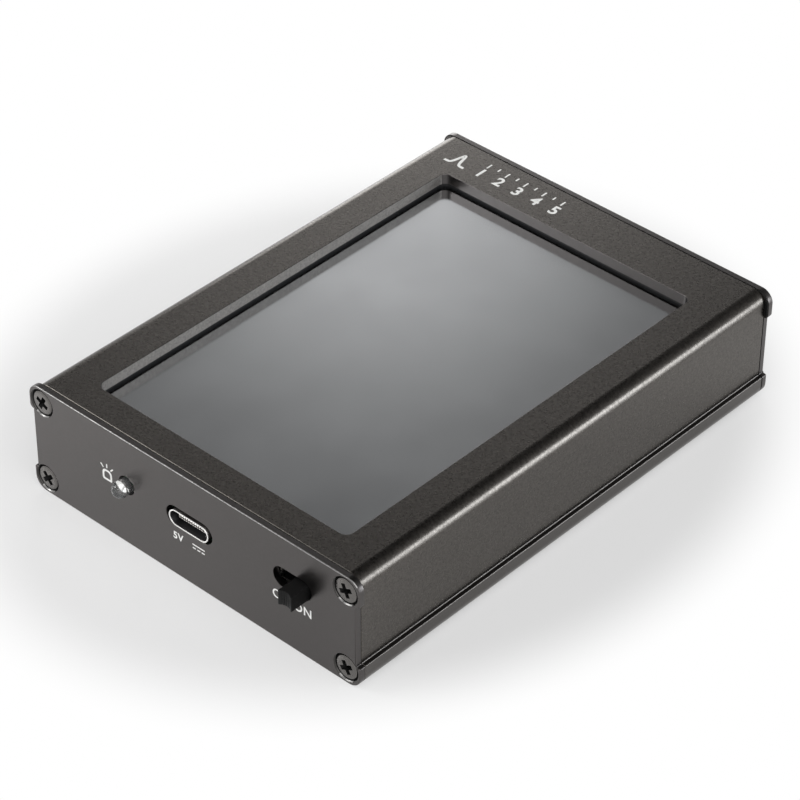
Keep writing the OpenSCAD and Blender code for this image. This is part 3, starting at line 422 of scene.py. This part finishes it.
def make_top_shell():
    port = arc(SCREW_X, SCREW_HIGH, PORT_R, 153, 280, 14)
    rebate_x, rebate_top, inner_x, rail_x = 35.4, 6.45, 34.5, 33.0
    inner = [(rebate_x, LEDGE), (rebate_x, rebate_top), (inner_x, rebate_top)]
    for low, high in ((8.0, 9.0), (10.7, 11.7)):
        inner += [(inner_x, low), (rail_x, low), (rail_x, high), (inner_x, high)]
    inner += [(inner_x, port[-1][1])] + port[::-1] + [(port[0][0], CEILING)]
    outer = [(WALL_X, LEDGE + 0.02)] + shoulder()
    half = inner[::-1] + outer
    loop = tidy_loop([(0.0, CEILING)] + half + [(-x, z) for x, z in reversed(half)])
    chamfer = 0.07
    obj = as_object("top_shell_skin", shell_bar(loop, chamfer, SCREW_HIGH), blasted, wall_painted_light, sheet)
    tool = bmesh.new()
    solid(tool, [[(x, y, z) for x, y in inset(rounded(*WINDOW), -d)]
                 for d, z in ((0, 19), (0, TOP - chamfer), (chamfer, TOP), (chamfer, TOP + 1))])
    cut(obj, as_object("window_tool", tool))
    sharpen(obj)
    x0, y0, x1, y1 = WINDOW[:4]
    near = 0.2
    # The window's walls facing X take the lighter copy, painted light; those facing Y take the plates' metal.
    for f in obj.data.polygons:
        x, y, z = f.center / MM
        in_window = x0 - near < x < x1 + near and y0 - near < y < y1 + near
        if in_window and abs(f.normal.z) < 0.9 and z > CEILING:
            f.material_index = 1 if abs(f.normal.x) > 0.9 else 2
    piece(obj, "case", "top_shell")


def make_bottom_shell():
    port = arc(SCREW_X, SCREW_LOW, PORT_R, 219.5, 117, 12)
    rim_in, rim_out, rim_top = 33.1, 35.3, 6.35
    inner = [(0.0, BASE_T)] + port + [(rim_in, rim_top), (rim_out, rim_top), (rim_out, LEDGE)]
    outer = lower_side()
    loop = tidy_loop([(0.0, 0.0)] + outer + inner[::-1] + [(-x, z) for x, z in inner[1:]]
                     + [(-x, z) for x, z in reversed(outer)])
    obj = as_object("bottom_shell_skin", shell_bar(loop, 0.12, SCREW_LOW), satin)
    sharpen(obj)
    piece(obj, "case", "bottom_shell")


def plate_loop():
    lip_r, ear_r = 0.34, 0.8
    ear = arc(WALL_X, EAR_Z + ear_r, ear_r, -90, 0, 6)
    return mirrored(lower_side(lip_r) + ear + arc(OUT_X - CORNER_R, TOP - CORNER_R, CORNER_R, 0, 90, 12))


# Edges of a plate as (inset, depth): its outline, its plain holes and its countersinks
EDGE_R, SEAM = 0.2, 0.18        # rounding of the front edge, and depth of the groove behind the plate
EDGE = ([(EDGE_R * (1 - math.sin(a)), EDGE_R * (1 - math.cos(a)))
         for a in (math.radians(15 * i) for i in range(7))]
        + [(0, PLATE_T - SEAM), (0.1, PLATE_T - SEAM + 0.02), (0.22, PLATE_T)])
HOLE = [(-0.05, 0), (0, 0.05), (0, PLATE_T - 0.04), (-0.04, PLATE_T)]
SINK_R, SINK_RIM, SINK_DARK = 2.58, 0.05, 0.3   # radius, and the depths where its rim and its black part begin; both are painted shade, and the rim's lower part is a painted highlight
SINK = [(-0.1, 0), (-0.06, 0.02), (0.14, 0.24), (0.2, 0.55), (1.15, 1.25), (1.15, PLATE_T)]
BRIGHT_BELOW = 2.1              # lower than this under the screw's middle, the rim gets a painted highlight


def make_plate(name, place, holes):
    bm = bmesh.new()
    sinks = [(circle(x, z, SINK_R), SINK) for x, z in SCREWS]
    slab(bm, place, (plate_loop(), EDGE), *sinks, *[(hole, HOLE) for hole in holes])
    obj = as_object(name + "_skin", bm, sheet, gap_painted_shade, sink_painted_shade, edge_painted_highlight)
    gap, rim, bright = 1, 2, 3
    sharpen(obj)
    for f in obj.data.polygons:
        x, y, z = f.center / MM
        depth = FACE_Y - abs(y)
        sx, sz = min(SCREWS, key=lambda spot: math.dist(spot, (x, z)))
        in_sink = math.dist((sx, sz), (x, z)) < SINK_R + 0.07
        in_seam = depth > PLATE_T - SEAM and abs(f.normal.y) < 0.95
        top_edge = depth < EDGE_R and f.normal.z > 0.3 and z > TOP - 1
        # Painted shade in the groove behind the plate and deep in the countersinks.
        if in_seam or (in_sink and depth > SINK_DARK):
            f.material_index = gap
        # The countersinks' rims: painted shade, with a painted highlight on their lower part.
        elif in_sink and depth > SINK_RIM:
            f.material_index = bright if z < sz - BRIGHT_BELOW else rim
        # A painted highlight along the plate's top edge.
        elif top_edge:
            f.material_index = bright
    piece(obj, "case", name)


make_top_shell()
make_bottom_shell()
make_plate("front_plate", front, [obround(INLET_X, 12.4, 10.4, 4.0), circle(LED_X, LED_Z, 1.75),
                                  obround(SWITCH_X - TRAVEL / 2, SWITCH_Z, 8.3, 3.9)])
make_plate("rear_plate", rear, [circle(s * JACK_X, JACK_Z, 3.325) for s in (-1, 1)])


# Screws: one, cut once, then copied to its eight places

SCREW_DEPTH = 0.16              # how far the screw's y = 0 lies below the face of the plate


def cross(a, b, y):
    """A cross at y, with arms 2a long and 2b wide."""
    corners = [(a, -b), (a, b), (b, b), (b, a), (-b, a), (-b, b), (-a, b), (-a, -b), (-b, -b), (-b, -a),
               (b, -a), (b, -b)]
    return [(x, y, z) for x, z in corners]


def make_screw_mesh():
    bm = bmesh.new()
    turned(bm, [(0, 0.1), (0.8, 0.09), (1.5, 0.06), (1.95, 0.02), (2.12, -0.03), (2.18, -0.08), (2.2, -0.16),
                (2.16, -0.36), (1.2, -1.14), (1.0, -1.14), (1.0, -7.7), (0.8, -8.0)], (0, 0))
    head = as_object("screw_head", bm, screw_steel, gap_painted_shade)
    tool = bmesh.new()
    made = loft(tool, [cross(1.44, 0.45, 0.3), cross(0.85, 0.32, -1.0)])
    tool.faces.new(made[0])
    tool.faces.new(made[-1])
    cut(head, as_object("cross_tool", tool))
    sharpen(head)
    # The cross recess gets the near black painted shade.
    recess_r, recess_low, recess_high = 1.5, -1.08, 0.05
    for f in head.data.polygons:
        x, y, z = f.center / MM
        f.material_index = int(math.hypot(x, z) < recess_r and recess_low < y < recess_high)
    mesh = head.data
    bpy.data.objects.remove(head)
    return mesh


def make_screws(name, side, turns):
    """Four screws in a plate; side is -1 for the front plate and 1 for the rear one."""
    bm = bmesh.new()
    for (x, z), turn in zip(SCREWS, turns):
        before = len(bm.verts)
        bm.from_mesh(SCREW)
        bm.verts.ensure_lookup_table()
        fresh = bm.verts[before:]
        spin = Matrix.Rotation(math.radians(turn), 4, "Y")
        flip = Matrix.Rotation(math.pi if side < 0 else 0, 4, "Z")
        spot = Matrix.Translation(Vector((x, side * (FACE_Y - SCREW_DEPTH), z)) * MM)
        bmesh.ops.transform(bm, matrix=spot @ flip @ spin, verts=fresh)
    mesh = bpy.data.meshes.new(name)
    bm.to_mesh(mesh)
    bm.free()
    mesh.materials.append(screw_steel)
    mesh.materials.append(gap_painted_shade)
    obj = bpy.data.objects.new(name + "_cut", mesh)
    scene.collection.objects.link(obj)
    piece(obj, "screw_steel", name)


SCREW = make_screw_mesh()
make_screws("front_plate_screws", -1, (39, 63, 28, 25))
make_screws("rear_plate_screws", 1, (33, 70, 15, 52))


# USB inlet

def make_inlet():
    x, z, y0, y1 = INLET_X, 12.23, -51.5, -44.15
    rim = [(0, y1), (0, y0 + 0.1), (0.03, y0 + 0.03), (0.09, y0), (0.2, y0), (0.27, y0 + 0.04),
           (0.3, y0 + 0.12), (0.3, y1)]
    bm = bmesh.new()
    loft(bm, along_y(obround(x, z, 8.94, 3.26, 24), rim), closed=True)
    obj = as_object("usb_shell_rim", bm, nickel, tin_painted_shade)
    middle = Vector((x, 0, z)) * MM
    # Faces turned inwards and deeper than the rim get the painted shade.
    for f in obj.data.polygons:
        towards = Vector((middle.x - f.center.x, 0, middle.z - f.center.z))
        f.material_index = int(f.normal.dot(towards) > 0 and f.center.y > (y0 + 0.2) * MM)
    piece(obj, "inlet_steel", "usb_shell")
    bm = bmesh.new()
    half_w, half_h = 3.345, 0.35
    tongue = rounded(x - half_w, z - half_h, x + half_w, z + half_h, 0.12, 4)
    solid(bm, along_y(tongue, [(0.16, -50.6), (0.05, -50.55), (0, -50.42), (0, -46.3)]))
    block = obround(x, z, 8.28, 2.6, 16)
    solid(bm, along_y(block, [(0.08, -46.35), (0, -46.27), (0, y1)]))
    piece(as_object("usb_tongue_body", bm, black_plastic), "inlet_plastic", "usb_tongue")
    bm = bmesh.new()
    contact = [(-50.5, 0.1), (-50.66, 0.12), (-50.66, 0.26), (-50.55, 0.38), (-50.4, 0.42), (-46.4, 0.42),
               (-46.4, 0.3), (-50.5, 0.3)]
    pitch, width = 0.5, 0.28
    for i in range(12):
        left = x + (i - 5.5) * pitch - width / 2
        for s in (-1, 1):
            solid(bm, [[(px, y, z + s * h) for y, h in contact] for px in (left, left + width)])
    piece(as_object("usb_contacts_formed", bm, contact_painted_glint), "gold", "usb_contacts")


make_inlet()


# Status LED

def make_led():
    tip, r, flange_r = -54.2, 1.5, 1.8
    dome = [(r * math.sin(math.radians(a)), tip + r - r * math.cos(math.radians(a))) for a in range(0, 91, 6)]
    flange = [(r, -49.64), (1.56, -49.6), (1.74, -49.6), (flange_r, -49.54), (flange_r, -48.66),
              (1.74, -48.6), (0, -48.6)]
    bm = bmesh.new()
    turned(bm, dome + flange, (LED_X, LED_Z))
    piece(as_object("led_lens_body", bm, clear, smooth=40), "led_clear", "led_lens")
    bm = bmesh.new()
    cup = [(0, -51.75), (0.3, -51.75), (0.62, -52.15), (0.75, -52.15), (0.75, -51.2), (0.3, -51.0),
           (0.25, -48.7), (0, -48.7)]
    turned(bm, cup, (LED_X - 0.3, LED_Z), 24)
    post = [(0, -52.0), (0.3, -52.0), (0.3, -51.4), (0.2, -51.2), (0.2, -48.7), (0, -48.7)]
    turned(bm, post, (LED_X + 0.85, LED_Z), 24)
    piece(as_object("led_frame_posts", bm, nickel), "tin")


make_led()


# Power switch

def make_knob():
    half_w, half_h, end, back = 1.45, 1.45, -55.05, -49.4
    hollow, rib, groove_depth, ribs_half = 0.45, 0.4, 0.1, 0.95
    half = half_w - 0.2
    r = (half * half + hollow * hollow) / (2 * hollow)
    points = [(half_w, back), (half_w, end + 0.08), (half_w - 0.06, end)]
    n = 60
    for i in range(n + 1):
        x = half - 2 * half * i / n
        dip = hollow - r + math.sqrt(r * r - x * x)
        groove = max(0.0, math.cos(2 * math.pi * x / rib)) * groove_depth if abs(x) < ribs_half else 0.0
        points.append((x, end + dip + groove))
    points += [(-half_w + 0.06, end), (-half_w, end + 0.08), (-half_w, back)]
    loop = [(SWITCH_X + x, y) for x, y in reversed(tidy_loop(points))]
    bm = bmesh.new()
    solid(bm, [[(x, y, SWITCH_Z + z) for x, y in inset(loop, d)]
               for d, z in ((0.07, -half_h), (0.02, 0.03 - half_h), (0, 0.08 - half_h), (0, half_h - 0.08),
                            (0.02, half_h - 0.03), (0.07, half_h))])
    plate_w, plate_h = 2.1, 2.025
    plate = rounded(SWITCH_X - plate_w, SWITCH_Z - plate_h, SWITCH_X + plate_w, SWITCH_Z + plate_h, 0.2, 4)
    solid(bm, along_y(plate, [(0, back), (0, -48.1)]))
    piece(as_object("switch_knob_ribbed", bm, black_plastic, smooth=30), "switch_plastic", "switch_knob",
          body="power_switch")


make_knob()


# Jacks on the rear plate, with their washers and nuts

THREAD_R, THREAD_PITCH, THREAD_DEPTH = 3.175, 0.7056, 0.36
JACK_BACK, JACK_END = 50.0, 59.3


def thread_ring(x0, y, n):
    """One ring of the outer thread, whose ridges get a little lower in the last half millimetre."""
    fade = min(1.0, (JACK_END - y) / 0.5)
    ring = []
    for i in range(n):
        turn = i / n
        phase = (y / THREAD_PITCH - turn) % 1.0
        r = THREAD_R - THREAD_DEPTH * abs(2 * phase - 1) - (1 - fade) * 0.12
        a = 2 * math.pi * turn
        ring.append((x0 + r * math.cos(a), y, JACK_Z + r * math.sin(a)))
    return ring


def make_jack(name, x0):
    n, rows = 48, 88
    bore_r, mouth_r, step_y = 2.08, 2.3, 57.4
    axis_at = (x0, JACK_Z)
    bm = bmesh.new()
    thread = [thread_ring(x0, JACK_BACK + (JACK_END - JACK_BACK) * j / rows, n) for j in range(rows + 1)]
    bore = [(2.75, JACK_END), (2.4, JACK_END), (mouth_r, JACK_END - 0.1), (mouth_r, step_y), (bore_r, step_y),
            (bore_r, JACK_BACK)]
    loft(bm, thread + rings_round(axis_at, bore, n), closed=True)
    half, ends = 3.3, (48.4, 49.98)
    flange = rounded(x0 - half, JACK_Z - half, x0 + half, JACK_Z + half, 0.3, 3)
    outer = loft(bm, along_y(flange, [(0, y) for y in ends]))
    inner = loft(bm, rings_round(axis_at, [(bore_r, y) for y in ends], n))
    cap(bm, [outer[0], inner[0]])
    cap(bm, [outer[1], inner[1]])
    for leg_x in (x0 - 2.8, x0 + 2.8):
        for z in (8.0, 10.6):
            leg = rounded(leg_x - 0.5, z, leg_x + 0.5, z + 1, 0.1, 2)
            solid(bm, along_y(leg, [(0, 44.0), (0, 48.38)]))
    piece(as_object(name + "_threaded", bm, gold, smooth=25), "jack_gold", name)


def make_washers():
    washer = [(3.2, 51.3), (4.62, 51.3), (4.7, 51.36), (4.7, 51.72), (4.62, 51.8), (3.2, 51.8)]
    bm = bmesh.new()
    for x0 in (-JACK_X, JACK_X):
        loft(bm, rings_round((x0, JACK_Z), washer), closed=True)
    piece(as_object("jack_washers_flat", bm, nickel), "jack_hardware", "jack_washers")


def hexagon(x0, z0, flat, corner_r, n):
    """A hexagon, flat from its middle to each side, with its corners turned off at corner_r."""
    points = []
    for i in range(n):
        a = 2 * math.pi * i / n
        r = min(flat / math.cos((a + math.pi / 6) % (math.pi / 3) - math.pi / 6), corner_r)
        points.append((x0 + r * math.cos(a), z0 + r * math.sin(a)))
    return points


def make_nuts():
    n, flat, corner_r, chamfer = 72, 4.0, 4.62, 0.5
    outside = [(corner_r - chamfer, 51.8), (corner_r, 52.05), (corner_r, 53.55), (corner_r - chamfer, 53.8)]
    bore = [(3.3, 53.8), (3.0, 53.5), (3.0, 52.1), (3.3, 51.8)]
    bm = bmesh.new()
    for x0 in (-JACK_X, JACK_X):
        rings = [[(x, y, z) for x, z in hexagon(x0, JACK_Z, flat, r, n)] for r, y in outside]
        loft(bm, rings + rings_round((x0, JACK_Z), bore, n), closed=True)
    piece(as_object("jack_nuts_hex", bm, nickel, smooth=25), "jack_hardware", "jack_nuts")


make_jack("input_jack", -JACK_X)
make_jack("output_jack", JACK_X)
make_washers()
make_nuts()


# Prints

PRINT_T = 0.015                 # thickness of the ink


def patch(bm, place, loops):
    """A thin print: the first loop, less the others."""
    slab(bm, lambda x, z, t: place(x, z, -t), *[(loop, [(0, PRINT_T), (0, 0.0)]) for loop in loops])


def bar(x0, y0, x1, y1, w, n=6):
    """A stroke with round ends."""
    a = math.degrees(math.atan2(y1 - y0, x1 - x0))
    return tidy_loop(arc(x1, y1, w / 2, a - 90, a + 90, n) + arc(x0, y0, w / 2, a + 90, a + 270, n))


def stroke(points, w):
    """A band of width w along an open path that runs to the right."""
    above, below = [], []
    for i, p in enumerate(points):
        along = (Vector(points[min(i + 1, len(points) - 1)]) - Vector(points[max(i - 1, 0)])).normalized()
        across = Vector((-along.y, along.x)) * (w / 2)
        above.append(tuple(Vector(p) + across))
        below.append(tuple(Vector(p) - across))
    return tidy_loop(below + above[::-1])


def lettering(bm, text, x, z, height, place, spread=1.0, weight=0.05):
    """Plain letters, their left foot at x, z. The weight thickens each stroke on both sides."""
    capital, half_t = 0.69, PRINT_T / 2     # a capital's height in the built-in font of size 1
    curve = bpy.data.curves.new("letters", "FONT")
    curve.body, curve.size, curve.extrude = text, height / capital, half_t
    curve.space_character, curve.offset = spread, weight
    curve.resolution_u = 6
    obj = bpy.data.objects.new("letters", curve)
    scene.collection.objects.link(obj)
    mesh = bpy.data.meshes.new_from_object(obj.evaluated_get(bpy.context.evaluated_depsgraph_get()))
    for v in mesh.vertices:
        v.co = place(x + v.co.x, z + v.co.y, -(v.co.z + half_t))
    bm.from_mesh(mesh)
    bpy.data.objects.remove(obj)
    bpy.data.curves.remove(curve)
    bpy.data.meshes.remove(mesh)


def lamp_symbol(bm, x, z):
    """A hollow lamp with three rays, its foot's middle at x, z."""
    half_w, foot_r, head_r, head_z = 1.1, 0.35, 0.85, z + 1.35
    lamp = tidy_loop(arc(x - half_w + foot_r, z + foot_r, foot_r, 180, 270, 4)
                     + arc(x + half_w - foot_r, z + foot_r, foot_r, 270, 360, 4)
                     + arc(x + half_w - head_r, head_z, head_r, 0, 90, 6)
                     + arc(x - half_w + head_r, head_z, head_r, 90, 180, 6))
    share, middle = 0.64, z + 1.1
    hollow = [(x + (px - x) * share, middle + (pz - middle) * share) for px, pz in lamp]
    patch(bm, front, [lamp, hollow])
    for x0, z0, x1, z1 in ((0, 2.7, 0, 3.3), (-0.9, 2.45, -1.35, 2.9), (0.9, 2.45, 1.35, 2.9)):
        patch(bm, front, [bar(x + x0, z + z0, x + x1, z + z1, 0.26)])


def make_front_prints():
    """The lamp symbol, ON and OFF, and 5V with the direct current sign."""
    bm = bmesh.new()
    lamp_symbol(bm, -19.0, 10.98)
    words_z, words_h = 8.65, 1.7
    lettering(bm, "OFF", 18.35, words_z, words_h, front, 0.93, 0.03)
    lettering(bm, "ON", 22.9, words_z, words_h, front, 1.1, 0.03)
    lettering(bm, "5V", -3.9, 7.75, 1.35, front, 1.1)
    line_z, dash_z, line_w = 8.8, 8.1, 0.24
    patch(bm, front, [bar(0.6, line_z, 3.2, line_z, line_w)])
    for i in range(3):
        patch(bm, front, [bar(0.65 + i, dash_z, 1.15 + i, dash_z, line_w)])
    piece(as_object("front_prints", bm, ink), "case")


def on_top(x, y, t):
    return (x, y, TOP - t)


def make_top_prints():
    """A signal peak on its base line, and a plain scale with digits."""
    bm = bmesh.new()
    x0, y0, length, height, steps = -31.0, 43.4, 4.6, 3.3, 36
    shares = [i / steps for i in range(steps + 1)]
    trace = [(x0 + length * s, y0 + height * math.exp(-((s - 0.5) / 0.13) ** 2)) for s in shares]
    patch(bm, on_top, [stroke(trace, 0.55)])
    scale_x, scale_step, scale_y = -23.4, 4.3, 47.6
    for i in range(9):
        x = scale_x + scale_step * i / 2
        mark = 0.7 if i % 2 else 1.2
        patch(bm, on_top, [bar(x, scale_y - mark, x, scale_y, 0.3)])
    for i in range(5):
        lettering(bm, str(i + 1), scale_x + scale_step * i - 0.65, 43.3, 2.4, on_top, weight=0.09)
    piece(as_object("top_prints", bm, ink), "case")


make_front_prints()
make_top_prints()


# Floor, world and lights

FLOOR_Z, FLOOR_HALF = -0.02, 1600.0
FLOOR_ROUGH, FLOOR_LIFT = 0.22, 0.4      # roughness of its sheen, and how white it is close to the object
FLOOR_NEAR, FLOOR_FAR = 0.675, 0.88      # where it starts to whiten and where it is white, in ovals
OVAL_SHIFT, OVAL_SCALE = (0.1, 0, 0), (11.85, 10.3, 0)


def make_floor():
    bm = bmesh.new()
    corners = ((-1, -1), (1, -1), (1, 1), (-1, 1))
    bm.faces.new([bm.verts.new((x * FLOOR_HALF, y * FLOOR_HALF, FLOOR_Z)) for x, y in corners])
    mat = bpy.data.materials.new("floor")
    mat.use_nodes = True
    nodes, links = mat.node_tree.nodes, mat.node_tree.links
    nodes.remove(nodes["Principled BSDF"])
    matt = nodes.new("ShaderNodeBsdfDiffuse")
    matt.inputs["Color"].default_value = (0.8, 0.8, 0.8, 1)
    sheen = nodes.new("ShaderNodeBsdfGlossy")
    sheen.inputs["Color"].default_value = (1, 1, 1, 1)
    sheen.inputs["Roughness"].default_value = FLOOR_ROUGH
    fresnel = nodes.new("ShaderNodeFresnel")
    fresnel.inputs["IOR"].default_value = 1.65
    white = nodes.new("ShaderNodeEmission")
    white.inputs["Strength"].default_value = 1.0
    paths = nodes.new("ShaderNodeLightPath")
    place = nodes.new("ShaderNodeTexCoord")
    scale = nodes.new("ShaderNodeMapping")
    links.new(place.outputs["Object"], scale.inputs["Vector"])
    scale.inputs["Location"].default_value = OVAL_SHIFT
    scale.inputs["Scale"].default_value = OVAL_SCALE
    length = nodes.new("ShaderNodeVectorMath")
    length.operation = "LENGTH"
    links.new(scale.outputs["Vector"], length.inputs[0])
    fade = nodes.new("ShaderNodeMapRange")
    fade.interpolation_type = "SMOOTHSTEP"
    fade.inputs["From Min"].default_value = FLOOR_NEAR
    fade.inputs["From Max"].default_value = FLOOR_FAR
    fade.inputs["To Min"].default_value = FLOOR_LIFT
    links.new(length.outputs["Value"], fade.inputs["Value"])

    def share(ray):
        times = nodes.new("ShaderNodeMath")
        times.operation = "MULTIPLY"
        links.new(fade.outputs["Result"], times.inputs[0])
        links.new(ray, times.inputs[1])
        return times.outputs["Value"]

    def mixed(fac, first, second):
        mix = nodes.new("ShaderNodeMixShader")
        for socket, source in zip(mix.inputs, (fac, first, second)):
            links.new(source, socket)
        return mix.outputs["Shader"]

    either = nodes.new("ShaderNodeMath")
    either.operation = "MAXIMUM"
    links.new(paths.outputs["Is Glossy Ray"], either.inputs[0])
    links.new(paths.outputs["Is Transmission Ray"], either.inputs[1])
    mirrored_floor = mixed(share(either.outputs["Value"]), matt.outputs["BSDF"], white.outputs["Emission"])
    sheeny_floor = mixed(fresnel.outputs["Fac"], mirrored_floor, sheen.outputs["BSDF"])
    seen_floor = mixed(share(paths.outputs["Is Camera Ray"]), sheeny_floor, white.outputs["Emission"])
    links.new(seen_floor, nodes["Material Output"].inputs["Surface"])
    as_object("floor", bm, mat)


def direction(azimuth, elevation):
    """A unit vector at azimuth from +X towards +Y and elevation, in degrees."""
    a, e = math.radians(azimuth), math.radians(elevation)
    return Vector((math.cos(a) * math.cos(e), math.sin(a) * math.cos(e), math.sin(e)))


# Radiance of the studio, and its soft spots: azimuth, elevation, half width in degrees, added radiance
WORLD_BASE = 0.9
SPOTS = [(69, 85, 89, -0.88), (132, 50, 30, -0.06), (133, 33.3, 5.3, 0.92), (325, 48, 50, 1.8)]


def make_world():
    world = bpy.data.worlds.new("studio")
    scene.world = world
    world.use_nodes = True
    nodes, links = world.node_tree.nodes, world.node_tree.links
    back = nodes["Background"]
    towards = nodes.new("ShaderNodeTexCoord").outputs["Generated"]
    total = None
    for azimuth, elevation, width, strength in SPOTS:
        dot = nodes.new("ShaderNodeVectorMath")
        dot.operation = "DOT_PRODUCT"
        dot.inputs[1].default_value = direction(azimuth, elevation)
        links.new(towards, dot.inputs[0])
        spot = nodes.new("ShaderNodeMapRange")
        spot.interpolation_type = "SMOOTHSTEP"
        spot.inputs["From Min"].default_value = math.cos(math.radians(width))
        spot.inputs["To Max"].default_value = strength
        links.new(dot.outputs["Value"], spot.inputs["Value"])
        if total is None:
            total = spot.outputs["Result"]
            continue
        add = nodes.new("ShaderNodeMath")
        links.new(total, add.inputs[0])
        links.new(spot.outputs["Result"], add.inputs[1])
        total = add.outputs["Value"]
    base = nodes.new("ShaderNodeMath")
    base.inputs[1].default_value = WORLD_BASE
    links.new(total, base.inputs[0])
    links.new(base.outputs["Value"], back.inputs["Strength"])
    back.inputs["Color"].default_value = (1, 1, 1, 1)


def area_light(name, target, azimuth, elevation, distance, size, radiance, color=(1, 1, 1)):
    """A softbox of size (width, height) with a plain radiance, seen from target at azimuth and elevation."""
    towards = direction(azimuth, elevation)
    data = bpy.data.lights.new(name, "AREA")
    data.shape, data.size, data.size_y = "RECTANGLE", size[0] * MM, size[1] * MM
    data.energy = radiance * math.pi * size[0] * size[1] * MM * MM
    data.color = color
    obj = bpy.data.objects.new(name, data)
    scene.collection.objects.link(obj)
    obj.location = (Vector(target) + towards * distance) * MM
    obj.rotation_euler = towards.to_track_quat("Z", "Y").to_euler()
    obj.visible_camera = False


make_floor()
make_world()
area_light("right_lamp", target=(36, 0, 20), azimuth=37, elevation=6, distance=900, size=(285, 240),
           radiance=11.0, color=(0.9, 0.95, 1.0))
area_light("left_front_lamp", target=(0, -51, 0), azimuth=216, elevation=34, distance=450, size=(191, 159),
           radiance=6.2)
area_light("rear_left_lamp", target=(0, 0, 20), azimuth=133.1, elevation=12.3, distance=461, size=(204, 204),
           radiance=3.5)

scene.view_settings.view_transform = "Standard"
